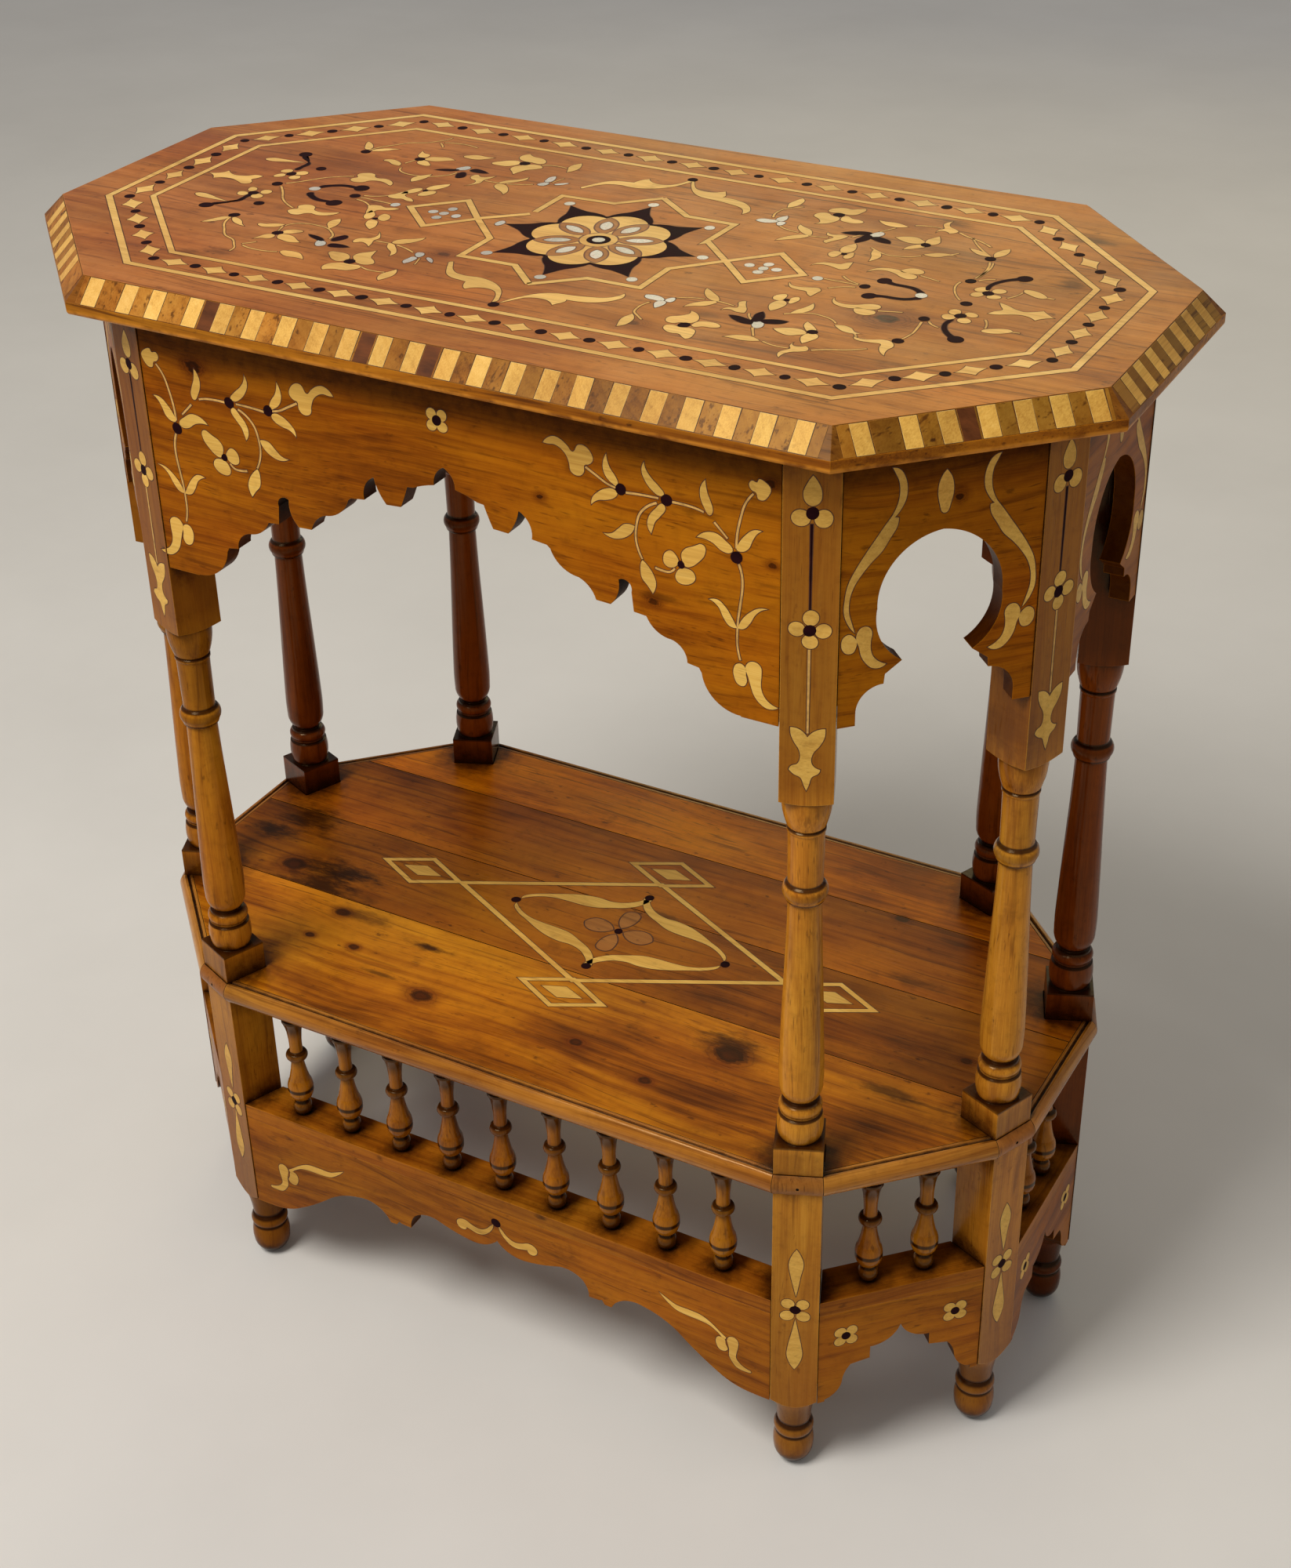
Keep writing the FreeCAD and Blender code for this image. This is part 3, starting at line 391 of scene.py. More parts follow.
        # the light lines are wear, and also painted light on the downward rounding under the lip
        for z, half, strength in told.worn:
            patchy = self.span(self.noise(self.place, scale=60, detail=3, rough=0.6), 0.36, 0.60)
            line = self.near(self.z, z, half * 0.5, half * 1.3, strength)
            self.stain(self.times(line, patchy), 1.3, 1.4, 2.4)
        # these dark lines are dark grooves, and some are painted shade under the top or under a moulding
        for z, half, strength in told.bands:
            self.darken(self.near(self.z, z, half * 0.5, half * 1.3, strength))

    def finish(self):
        """The varnish and the relief of the grain."""
        told = self.set
        rough = self.noise(self.place, scale=24, detail=4, rough=0.6)
        rough = self.math("MULTIPLY_ADD", rough, 0.30, told.rough - 0.15)
        rough = self.math("MULTIPLY_ADD", self.fine, 0.12, self.math("SUBTRACT", rough, 0.06), clamp=True)
        relief = self.math("ADD", self.times(self.fine, 0.35), self.times(self.streak, 0.65))
        relief = self.math("SUBTRACT", relief, self.times(self.pit, 0.8))
        self.fill(self.bsdf, {"Base Color": self.col, "Roughness": rough, "Coat Weight": told.coat,
                              "Coat Roughness": COAT_ROUGH, "Specular IOR Level": told.gloss,
                              "Specular Tint": VARNISH_TINT, "Coat Tint": COAT_TINT,
                              "Normal": self.bump(relief, 0.35, 0.0004, self.soft)})


def wood(name, mean, **given):
    made = Wood(name, mean, given)
    for step in (made.grain, made.pores, made.knots, made.marks, made.heights, made.wear, made.finish):
        step()
    return made.mat


def plain(name, mean, vary=0.1, rough=0.4, scale=60, metal=0.0, coat=0.0, island=0.0, pearl=False,
          stretch=(1, 1, 1), gloss=0.4):
    """A close-grained material: bog wood, shell, glue or iron."""
    made = Tree(name, mean)
    place = made.mapping(made.place, scale=stretch)
    cloud = made.noise(place, scale=scale, detail=4, rough=0.6)
    if pearl:
        sheen = made.noise(place, scale=scale * 2.2, detail=3, distort=1.5)
        col = made.ramp(sheen, [(0.28, made.tone(0.93, 0.86, 0.86)), (0.42, made.tone(1, 1, 1)),
                                (0.55, made.tone(0.90, 0.98, 0.98)), (0.7, made.tone(1.05, 1.06, 1.08))])
    else:
        dark = made.tone(*(1 - share * vary for share in (1.6, 1.8, 2)))
        light = made.tone(*(1 + share * vary for share in (1.4, 1.3, 1.2)))
        col = made.ramp(cloud, [(0.25, dark), (0.5, made.tone(1, 1, 1)), (0.78, light)])
    if island:
        col = made.by_plate(col, grey(1 - island), grey(1 + 0.5 * island))
    rough = made.math("MULTIPLY_ADD", cloud, 0.24, rough - 0.12, clamp=True)
    relief = made.bump(made.noise(place, scale=scale * 9, detail=3), 0.25, 0.0002)
    made.fill(made.bsdf, {"Base Color": col, "Roughness": rough, "Metallic": metal, "Coat Weight": coat,
                          "Specular IOR Level": gloss, "Normal": relief})
    return made.mat


# outlines in mm on a flat face

def unit(vector):
    return vector / max(np.linalg.norm(vector), 1e-9)


def left_of(way):
    return np.array((-way[1], way[0]))


def aim(degrees):
    angle = math.radians(degrees)
    return np.array((math.cos(angle), math.sin(angle)))


def read_line(text):
    """Points written as x,y, each with whether the line turns sharply there, which ^ marks."""
    points = []
    for word in text.split():
        x, y = word.rstrip("^").split(",")
        points.append((np.array((float(x), float(y))), word.endswith("^")))
    return points


def corners_of(text):
    return [place for place, _ in read_line(text)]


def smooth(points, closed=True, step=1.3):
    """A smooth line through the points; it turns sharply only at the marked ones."""
    count = len(points)
    places = [place for place, _ in points]
    runs = count if closed else count - 1
    ways = [unit(places[(i + 1) % count] - places[i]) for i in range(runs)]
    leads = []
    for i, (_, sharp) in enumerate(points):
        end = not closed and i in (0, count - 1)
        leads.append(None if sharp or end else unit(ways[i % runs] + ways[i - 1]))
    line = []
    for i in range(runs):
        start, stop = places[i], places[(i + 1) % count]
        size = np.linalg.norm(stop - start)
        leave, arrive = leads[i], leads[(i + 1) % count]
        if leave is None and arrive is None:
            leave = arrive = ways[i]
        elif leave is None:
            leave = 2 * ways[i] * float(ways[i] @ arrive) - arrive
        elif arrive is None:
            arrive = 2 * ways[i] * float(ways[i] @ leave) - leave
        pieces = max(1, int(math.ceil(size / step)))
        for s in (j / pieces for j in range(pieces)):
            line.append((2 * s ** 3 - 3 * s * s + 1) * start + (s ** 3 - 2 * s * s + s) * size * leave
                        + (-2 * s ** 3 + 3 * s * s) * stop + (s ** 3 - s * s) * size * arrive)
    return line if closed else line + [places[-1]]


def turned_left(ring):
    area = sum(ring[i - 1][0] * ring[i][1] - ring[i][0] * ring[i - 1][1] for i in range(len(ring)))
    return ring if area > 0 else ring[::-1]


def grow(ring, distance):
    """The same outline, wider by the distance all round."""
    wider = []
    for i, corner in enumerate(ring):
        before, after = unit(corner - ring[i - 1]), unit(ring[(i + 1) % len(ring)] - corner)
        out = -left_of(before + after)
        size = np.linalg.norm(out)
        if size < 1e-6:
            wider.append(corner + before * distance)
        else:
            out /= size
            wider.append(corner + out * distance / max(0.45, float(out @ -left_of(before))))
    return wider


def ribbon(line, width, taper=0.0, closed=False):
    """The two sides of a line of that width, or one that changes to the taper; a mitre at each turn."""
    last = len(line) - 1
    left, right = [], []
    for i, place in enumerate(line):
        before = unit(place - line[i - 1]) if closed or i else None
        after = unit(line[(i + 1) % len(line)] - place) if closed or i < last else before
        before = after if before is None else before
        side = unit(left_of(before + after))
        half = (width + (taper - width) * i / last if taper else width) / 2
        half /= max(0.35, float(side @ left_of(before)))
        left.append(place + side * half)
        right.append(place - side * half)
    return left, right


def circle(x, y, radius, count=22, wobble=0.04):
    """A round outline, a little uneven where it wobbles."""
    phase = chance.uniform(0, 6.28)
    ring = []
    for i in range(count):
        angle = 2 * math.pi * i / count
        reach = radius * (1 + wobble * math.sin(2 * angle + phase))
        ring.append(np.array((x, y)) + reach * np.array((math.cos(angle), math.sin(angle))))
    return ring


def rhombus(x, y, half_length, half_width):
    steps = ((half_length, 0), (0, half_width), (-half_length, 0), (0, -half_width))
    return [np.array((x + right, y + up)) for right, up in steps]


def strip(left, right, low, high, lean=0.0):
    return [np.array(p) for p in ((left, low), (right, low), (right + lean, high), (left + lean, high))]


class Face:
    """A flat face: where its middle is, which way is right and up on it, and its outward normal, in mm."""

    def __init__(self, at, right, up):
        self.at, self.right, self.up = (np.array(a, float) for a in (at, right, up))
        self.out = np.cross(self.right, self.up)

    def __call__(self, x, y, height):
        return tuple((self.at + self.right * x + self.up * y + self.out * height) / 1000)


def upright_face(angle, distance, slide=0.0):
    """The upright face with its outward normal at that angle from the front; the slide moves it sideways."""
    along, out = np.array((*aim(angle), 0)), np.array((*-left_of(aim(angle)), 0))
    return Face(out * distance + along * slide, along, (0, 0, 1))


PLATE_FOOT = -0.35


class Plates:
    """Flat plates let into faces, joined in one mesh."""

    def __init__(self, name, mat, slot):
        self.name, self.mat, self.slot, self.points, self.faces = name, mat, slot, [], []

    def add(self, face, ring, top):
        ring = turned_left(ring)
        n, k = len(ring), len(self.points)
        self.points += [face(*p, PLATE_FOOT) for p in ring] + [face(*p, top) for p in ring]
        self.faces.append(tuple(range(k + n - 1, k - 1, -1)))
        self.faces.append(tuple(range(k + n, k + 2 * n)))
        self.faces += [(k + i, k + (i + 1) % n, k + n + (i + 1) % n, k + n + i) for i in range(n)]

    def hoop(self, face, outer, inner, top):
        """A closed band between two outlines with the same number of points."""
        n, a = len(outer), len(self.points)
        b, c, d = a + n, a + 2 * n, a + 3 * n
        for ring, height in ((outer, PLATE_FOOT), (inner, PLATE_FOOT), (outer, top), (inner, top)):
            self.points += [face(*p, height) for p in ring]
        for i in range(n):
            j = (i + 1) % n
            self.faces += [(c + i, c + j, d + j, d + i), (b + i, b + j, a + j, a + i),
                           (a + i, a + j, c + j, c + i), (d + i, d + j, b + j, b + i)]

    def make(self):
        if not self.faces:
            return
        mesh = bpy.data.meshes.new(self.name)
        mesh.from_pydata(self.points, [], self.faces)
        mesh.materials.append(self.mat)
        piece = add(self.name, mesh)
        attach(piece, "root")


# the sets of plates, and the height in mm at which each kind ends, stepped so that no two lie in one plane
SETS = {"w": "light", "k": "black", "p": "pearl", "s": "stems", "g": "glue", "m": "brown"}
ROUND = {"d": "k", "o": "p"}
LIFT = {"m": 0.078, "w": 0.080, "p": 0.084, "s": 0.074, "k": 0.088, "d": 0.100, "o": 0.104}
GLUE = 0.04
STEM = 1.3
DOT = 3.3


class Bench:
    """Lays the inlay of a face: plates, stems, and the dark line of glue round each."""

    def __init__(self, place, slot, mats):
        self.sets = {kind: Plates(f"{place}_inlay_{word}", mats[kind], slot) for kind, word in SETS.items()}

    def plate(self, face, kind, ring, lift=0.0, glue=0.45):
        ring = turned_left(ring)
        self.sets[ROUND.get(kind, kind)].add(face, ring, LIFT[kind] + lift)
        if glue and kind != "d":
            step = 0.002 * len(self.sets["g"].faces) % 0.02
            self.sets["g"].add(face, grow(ring, glue), GLUE + step + lift * 0.9)

    def band(self, face, line, width, lift=0.0, closed=False, glue=0.55):
        for kind, wide, height in (("w", width, LIFT["w"]), ("g", width + 2 * glue, GLUE)):
            outer, inner = ribbon(line, wide, closed=closed)
            if closed:
                self.sets[kind].hoop(face, inner, outer, height + lift)
            else:
                self.sets[kind].add(face, outer + inner[::-1], height + lift)

    def draw(self, face, text, move=lambda x, y: (x, y)):
        """Each row is a kind, with a size where it needs one, and points. The kinds are w light, k black,
        m brown, p shell, s stem, f stem that widens, d black dot, o shell dot."""
        for row in text.split("|"):
            first, rest = row.split(maxsplit=1)
            kind, size = first[0], float(first[1:] or 0)
            points = [(np.array(move(*place)), sharp) for place, sharp in read_line(rest)]
            if kind in ROUND:
                for place, _ in points:
                    self.plate(face, kind, circle(*place, size or DOT), glue=0.25)
            elif kind in "sf":
                wide = size or STEM
                end = wide * (1.9 if kind == "f" else 0.8)
                left, right = ribbon(smooth(points, False, 1.6), wide, taper=end)
                self.plate(face, "s" if kind == "s" else "k", left + right[::-1], glue=0.4)
            else:
                self.plate(face, kind, smooth(points), glue=0.9 if kind == "m" else 0.45)

    def petals(self, face, x, y, reach, radius):
        """The four petals of a small flower."""
        for turn in (45, 135, 225, 315):
            self.plate(face, "w", circle(*(np.array((x, y)) + reach * aim(turn)), radius))

    def make(self):
        for plates in self.sets.values():
            plates.make()


# the drawing of the top, read off the photo and written in mm (x right, y back)
# each motif of the front half, the right ones first, after the shift (right, back) of its mirror image
# in the back half; a motif with None has no such image
MOTIFS = (
((-1, 5), """w 2,-109.5^ 3.9,-103.9 7.6,-97 12,-90.8 17,-86.4 23.3,-83.9 29.5,-83.3 35.8,-82.3 42,-80.8
48.3,-78.9 52,-76.4 54.5,-72.6 56,-68.5^ 58,-73.3 56.4,-78.3 53.3,-82.6 48.3,-86.4 42,-88.9 35.8,-89.8
32,-89.8^ 32.8,-92.6 30.8,-96.8 29.1,-99.8^ 27,-97.6 23.3,-95.1 18.9,-94.5 14.5,-95.1 10.8,-97 7,-102
4.5,-106.4"""),
((0, 3), """w 73.9,-92^ 77.6,-97 78.5,-102 77.6,-107.6 74.8,-110.8^ 73.5,-107 72.3,-103 71.8,-99 72.8,-95
| s 73.9,-73.3 72,-79.5 72,-83.3 73.3,-89 77,-92.6 82,-97
| p 67,-64.5^ 72,-63 77,-64.5 79.5,-67 78.9,-69.3 74.5,-69.3 70.1,-68.9 67.6,-67
| p 78.3,-68.9 81.4,-68.9 82.6,-72.6 81.8,-76.4 80.4,-79.3^ 78.3,-76.4 76.8,-72.6
| p 80.3,-67.6 81,-63.3 83,-62 84.8,-65.8 83.9,-68.5 | s 84,-61.5 89.5,-58.3 98.3,-56.4"""),
((0, 1), """w 92,-41.4^ 95.8,-44 99.5,-47 103.9,-50.8 106,-55.8 103.3,-56.4 99.5,-54.5 95.8,-50.8 93,-45.8
| w 106,-57 105.1,-62 102,-65.8 97,-68.3 93.5,-71^ 93.9,-67 97,-62 101.4,-58.3
| s 106,-56 112,-57 117,-58.3
| w 117,-52 119.8,-49.5^ 122,-54.5 125.5,-60.5 126.3,-65^ 121.5,-65.3 117,-63.5 113.3,-66^ 115,-61.5
119.5,-60 118.8,-56.5 | s 129,-64.5 131.5,-69 136,-73"""),
((0, -1), """k 134.5,-59^ 137.6,-63.3 139.3,-68.3 138.3,-73.3 135.1,-73.9 133.3,-68.3 132.6,-63.3
| k 120.5,-70.8^ 124.5,-70.1 130.8,-71.4 135.8,-73.9 137,-77 133.3,-78.3 127,-76.4 122.6,-73.3
| k 152.6,-65.8^ 150.8,-70 145.8,-72.6 141.4,-73.3 138.9,-70 142,-67.6 147,-65.8
| p 137,-73.3 140.8,-72.6 143.5,-77 143,-80 140.8,-81.4 138.3,-79.5 136.8,-76.4
| s 139.5,-81.4 141.4,-85 145,-91.4
| w 131.4,-98.9^ 135.5,-94.8 139.5,-93 144.5,-92.6 149,-94.5 150.8,-96^ 147,-98 141,-99.3 136,-98.8"""),
((0.6, 2.4), """d3.4 105.8,-93.9
| w 99.8,-74.8^ 103.9,-76.4 107.3,-80 109.3,-84.8 109,-88.3 106.4,-90.8 102.6,-91.4 99.5,-93.9 95.8,-93.9
93,-90 93.5,-86.4 97,-83.9 99.5,-81.4 101,-78.3
| w 109.3,-90.5 110.8,-86 115.1,-84.5 120.8,-84.8 123.9,-88.3 120.8,-90.8 115.8,-91.4 111.4,-93.9
109.5,-92.6
| w 97.6,-97.6 100.8,-96.4 105.1,-97.6 110.8,-96.4 114.5,-98.3 116.4,-103.3 116.8,-108.3 115.1,-110.5^
112,-108.3 108.9,-105.8 104.5,-106.4 100.1,-104.5 97.3,-100.8"""),
((-1, 1), """w 128.3,-13.9^ 131.5,-17.3 136.5,-17.8 141.4,-16.2 145.8,-15 148.7,-17.6 148.3,-21.5
147.3,-27.8^ 144.3,-25.5 142,-22.2 137,-21.8 132,-20.5"""),
((-1.9, 0.5), """d1.8 138.3,-38.3 | w 134.5,-31 130.8,-33.3 129.9,-37.6 132,-40.5 135.8,-40 136.4,-35.8
| w 142,-31.8 144.3,-35 143.5,-40 142,-42.4 140.1,-38.9 139.5,-34.5
| w 136.4,-40 139.5,-41.4 141,-45 140.1,-50.8 137.3,-56^ 135.1,-53.3 133,-48.3 133.5,-43.3"""),
((-0.5, -5), """s 150.8,-12.6 155.8,-8.3 163.3,-5
| w 159.8,-23.9^ 162.6,-28.3 168.3,-30.1 174.5,-28.3 179.5,-24.8 184.5,-23.3 187.6,-25.8 187,-29.5
183.3,-31.4 179.5,-32 173.3,-34.3 167,-33.9 162,-30.8
| w 176,-32.6 182,-32 187,-32.6 188.5,-35.8 185.8,-39.3 180.8,-39.8 177,-37
| s 188.3,-31.4 194.5,-29.5 200.8,-27.6"""),
((0, -2), """w 153.3,-36.4^ 156,-42 156.4,-45.8 154.5,-50 150.8,-53.5 148.3,-53.9^ 149.5,-48.3 151.4,-44.5
| s 145.8,-57 150.8,-53.3 158.3,-50 165.8,-50.8 172,-53.3 175.8,-57
| w 176.4,-59.5^ 180.8,-58 185.8,-59.5 190.1,-63.9 193.5,-64.5^ 188.3,-66 183.3,-65.1 178.9,-62
| s 190,-65 193.3,-69.5"""),
(None, """w 192,-69.5^ 197,-70.5 202,-68.9 207,-66.8 210.8,-67 213.9,-69.5 215.5,-73.3 214.5,-78.3
216,-85.8^ 212,-82 209.5,-77 208.3,-72.6 203.3,-72.8 197,-73.3 193.3,-72 | d3.3 214.5,-64.8"""),
((1, -0.5), """d3.2 214.5,-31 | s 215.1,-35.8 216.4,-44.5 217,-52 215.1,-62
| s 218.3,-33.3 220.8,-36.4 225.8,-38.9"""),
((0.9, -1.4), """d3.3 229.9,-18.9 | w 223.9,-11.4 222,-13.3 222.6,-17 226.4,-18.9 228.5,-15.8 227,-12
| w 232,-12.6 237,-13.3 238.3,-16.4 235.8,-18.3 232.6,-17.6 230.8,-15
| w 222.6,-19.5 221,-22 223.9,-26.4 227,-25.8 228.5,-22 226.4,-20
| w 232,-21 235.8,-21.4 238,-25 235.8,-27.6 232,-27 230.4,-24"""),
((-1, -3), """w 247.6,-33.9 248.3,-30.8 252,-28.3 257,-26 260.8,-26 262.6,-27.9^ 259.5,-31.4 255.1,-33.9
250.8,-34.8 | s 262.6,-28 266.5,-27.8 | s1.2 243.6,-18.3 246.4,-23.3 248,-29.5"""),
((1.4, -1.5), """d3 170.1,-73.3
| w 161.6,-61.4^ 165.8,-64.5 169.5,-68.3 170.8,-70 167.6,-73.3 164.8,-70.8 162,-66.4
| w 149.8,-77.6^ 154.5,-74.5 159.5,-72.6 165.1,-73.3 168,-77 165.1,-80 160.8,-82.6 155.1,-81.4
| w 169.5,-75.5 173.9,-75.5 175.8,-79.5 174.5,-83.9 171.8,-89.3^ 168.9,-85 167.6,-80.8"""),
((1, 3), """w 167.6,-90^ 169.5,-94.3 175,-92^ 178.5,-96.8 175.8,-99.8 172,-102 169.5,-105.8 169.3,-111.4^
167,-108.3 166.4,-104.5 168.3,-100.8 169.5,-98.3 167.6,-95 | s 152.6,-95.8 159.5,-98.3 168.3,-98.3
| s1.6 180,-95.8 187,-91.4 195.8,-87.6 204.5,-81.4"""),
((-1.6, -3), """k 175,-12 182,-9.5 188,-9.3 193,-8.5 197,-6 199,-3^ 202,-5 199,-8.5 194,-11.5 188,-12.3
182,-12.5 175,-15 | d4.2 175.1,-13.5"""),
((0.4, -3.7), """k 228.3,-25 226.3,-27.5 226,-32.5 227.3,-38 230.2,-43.2 234.5,-48 240,-52 240,-48 236,-45
232.6,-41.5 229.8,-37 228.4,-32 228.8,-28 | d4.5 240.1,-50"""),
((2, 5), """w -2.3,-110.1^ -0.5,-108 -2.3,-102 -6,-94.5 -10.4,-89.5 -16,-85.5 -22.3,-83 -28.5,-82 -36,-83
-43.5,-81.4 -48.5,-77 -51.6,-72 -54.1,-67.6^ -55.8,-68.3 -54.1,-73.3 -51,-79.5 -47.3,-85.1 -42.3,-88.5
-36,-89.8 -31.3,-90.5^ -30,-95 -28,-98.3 -25.8,-100.1^ -24,-97.6 -19.8,-95 -14.8,-94.3 -9.8,-95.8
-6,-100.1 -3.5,-105.8"""),
((0, 3), """p -80.4,-63.9 -76.6,-63.3 -74.8,-67 -76,-70.1 -79.1,-68.3
| p -79.1,-70.8 -76,-71.4 -75.4,-75.8 -77.9,-81.8^ -80.4,-78.9 -80.1,-74.5
| p -71,-68.3 -67.9,-68.9 -64.1,-74.3^ -66.6,-73.3 -69.8,-70.8 | s0.8 -74.1,-71.4 -71.3,-80.8
| w -76,-91.8^ -73.5,-95.8 -72.6,-100.8 -74.1,-106.4 -76,-110.1^ -79.1,-105.8 -79.8,-100.8 -77.9,-96.4
| s -96.6,-96.4 -91,-98.9 -79.8,-98.3"""),
((0, 1), """w -89.8,-41.8^ -94.1,-45.8 -99.8,-49.3 -102.9,-53.3 -102.3,-57 -97.9,-57 -94.1,-53.9 -91,-49.5
-89.5,-45.1
| w -102.9,-58.3 -101.6,-63.3 -97.9,-67 -94.8,-69.5 -92,-75.1^ -91,-70.8 -93.5,-65.8 -97.3,-61.4
-99.8,-58.9 | s -97.9,-58.9 -89.8,-61.4 -82.9,-65.1 | s -102.9,-58.3 -112.9,-58.3
| w -119.1,-45.1^ -116,-48.9 -113.3,-53.9 -114.1,-58.3 -112.3,-63.3 -111.3,-68^ -115.4,-64.5 -119.1,-63.3
-122.9,-65.8 -124.8,-62 -122.9,-58.3 -117.9,-55.8 -116.6,-52"""),
((2, -2), """k -133.5,-58.3 -130.4,-60.8 -131.3,-65.8 -135.4,-69.5 -137.3,-65.8 -136,-61.4
| k -133.5,-73.9 -127.3,-72 -120.4,-73.9^ -126,-77 -132.3,-77.6
| k -153.9,-66^ -148.3,-66.4 -142,-68.9 -140.1,-72 -145.8,-71 -150.8,-68.9
| p -142.6,-72 -138.9,-72 -135.8,-75.1 -135.8,-78.3 -138.3,-80.1 -141.4,-77.6
| s -138.9,-67 -140.1,-62 -144.5,-57 -149.5,-53.3 -158.3,-51.4 -167,-52 -173.3,-55.8 -175.1,-60.1
| w -152,-95.8 -147,-93.5 -140.8,-93.9 -136,-97.5 -132.9,-101.4^ -138.3,-100.8 -144.5,-101.4 -148.9,-99.5"""),
((-1, 5.4), """d3.5 -107,-92.6
| w -102.9,-72^ -101.6,-77 -99.8,-82 -94.8,-86.4 -92.9,-90.1 -96.6,-93.3 -102.3,-92.6 -107.3,-88.3
-110,-84.5 -109.8,-80.1 -106,-75.8
| w -126,-84.5 -121,-83 -114.8,-83.5 -110.4,-87.6 -109.8,-91.4 -112.9,-95.1 -117.9,-93.9 -122.3,-90.1
| w -115.4,-100.1 -109.8,-96.4 -104.8,-96.4 -97.9,-95.8 -96,-98.3 -99.1,-103.9 -103.5,-105.8 -108.5,-106.4
-113.3,-109.9^ -116.6,-105.1"""),
((0, 1), """w -150.8,-9.5 -144.5,-6.8 -140,-8.3 -135.4,-6.6 -131.3,-6.8^ -134.8,-10.8 -139.8,-12.6
-142,-14.5 -142.6,-18.9 -144.8,-21.4^ -147,-17.6 -148.9,-13.3 | s -163.9,-3.3 -157,-5.1 -150.8,-9.5"""),
((-1, 1), """d1.8 -134.5,-27
| w -144.8,-15.8^ -140.4,-18.9 -137.3,-23.9 -138.5,-29.5 -141.6,-28.3 -144.1,-23.3
| w -134.1,-17.6^ -129.8,-18.9 -126.6,-24.5 -127.9,-28.3 -131.6,-27.6 -134.8,-22.6
| w -135.4,-29.5 -131,-30.1 -128.5,-33.9 -126.6,-38.9 -127.3,-43.5^ -132.3,-39.5 -135.4,-35.1"""),
((-0.5, -1), """w -159.5,-27.6^ -160.1,-30.8 -163.3,-34.5 -168.9,-36.8 -174.5,-35.8 -177.6,-37.6
-179.5,-40.8 -183.3,-42 -186.4,-40.8 -189.5,-37.6 -188.9,-35.1 -186.4,-32 -188.5,-28.3 -186.4,-24.8
-182,-23.9 -178.3,-25.8 -175.8,-30.1 -170.1,-31.8 -164.5,-30.1 -161.4,-28.3
| s -219.5,-3.3 -212,-12 -204.5,-22 -197,-28.3 -189.5,-32.6"""),
((0, 2), """w -152.6,-36.4^ -149.5,-41.4 -148.3,-45.8 -148.9,-53.3^ -152,-50.1 -155.1,-45.8 -155.8,-42
| w -191.4,-63.9 -187,-62.6 -182,-59.5 -176.4,-58.5^ -177.6,-62.6 -182,-65.8 -187.6,-67"""),
((2.3, 17), """d3.4 -213.5,-58
| w -214.5,-62 -217,-62.6 -220.1,-67 -222.6,-72 -223.9,-75.8^ -220.1,-73.9 -215.8,-69.5 -213.9,-65.8
| w -211.4,-61.4 -207,-62 -202.6,-65.1 -199.5,-68.9 -196.4,-71^ -202,-70.1 -207,-67.6 -210.1,-64.5"""),
((-4, 0.3), "d3.4 -213,-34.5"),
((-0.6, -2), """d3.3 -227.3,-20.8 | w -234.5,-12 -230.8,-12.6 -228.9,-16.4 -231.4,-18.9 -234.5,-16.4
| w -224.5,-13.9 -220.1,-12.6 -218,-15.8 -220.1,-19.5 -223.9,-18.3
| w -236.4,-22 -232,-21 -229.5,-23.3 -230.8,-27 -235.1,-26.4
| w -225.8,-21.4 -219.5,-22 -218.3,-25.8 -221.4,-28.3 -225.1,-26.4"""),
((-1, 0), """w -258.9,-35.8 -254.5,-33.9 -248.3,-35.1 -240.8,-37.6 -232,-40.1^ -239.5,-40.1 -248.3,-40.1
-255.8,-39.3"""),
((0, 5), """d3.4 -171.8,-72
| w -170.1,-66.4 -165.8,-63.3 -159.5,-63.9 -162,-67.6 -165.8,-70.8 -169.5,-70.8
| w -168.9,-73.3 -164.5,-72 -159.5,-73.3 -154.5,-77 -150.8,-79.5^ -157,-82 -162,-80.8 -167,-78.9
| w -170.1,-77 -170.8,-82 -175.8,-83.3 -178.9,-86.4^ -178,-81.4 -176.4,-77 -173.3,-75.1
| s1.2 -175.8,-61.4 -173.3,-69.5"""),
((2, 14), """s -213.3,-62 -210.1,-72 -204.5,-79.5 -197,-88.3 -188.3,-92.6 -183.3,-98.3 -179.5,-103.3
-178.9,-108.3 | s -179.5,-95.8 -175.8,-92 -173.9,-89.5
| s -177.6,-97.6 -172,-99.5 -160.8,-99.8 -153.3,-97.6"""),
((-0.4, 0.5), """k -172.6,-13 -176,-12.4 -183.5,-12.3 -190,-9.5 -194.5,-4.5^ -197.5,-6 -192,-12.5
-184.5,-15.7 -176,-15.6 -172.6,-16 | d5 -172.6,-14.5"""),
((-2.5, 3), """k -226.3,-23.3 -226,-29.5 -225.5,-35.3 -228.5,-39.3 -234.3,-41.8 -239,-46 -240,-52
-237.6,-48 -233.7,-44.8 -230.5,-42.3 -228.6,-36.3 -228.6,-29.5 -228.3,-23.3 | d4.4 -239.8,-50.8"""))
AXIS_R = """o3 139.3,-2 | d3.2 167.4,-1.8 | s 142.6,-0.8 163.3,-1.4 | o3.4 200,-1 | d3.3 226,-1.4
| w 241.4,7.6^ 247,5.5 252,2.5 258,0.8 263,3.5 266.5,6.5^ 270,3 275,-0.8^ 271,-3 267,-8^ 263,-5 258,-4
252,-6 246,-9 241.5,-9.5^ 243.5,-5 246.5,-1.5 244,3"""
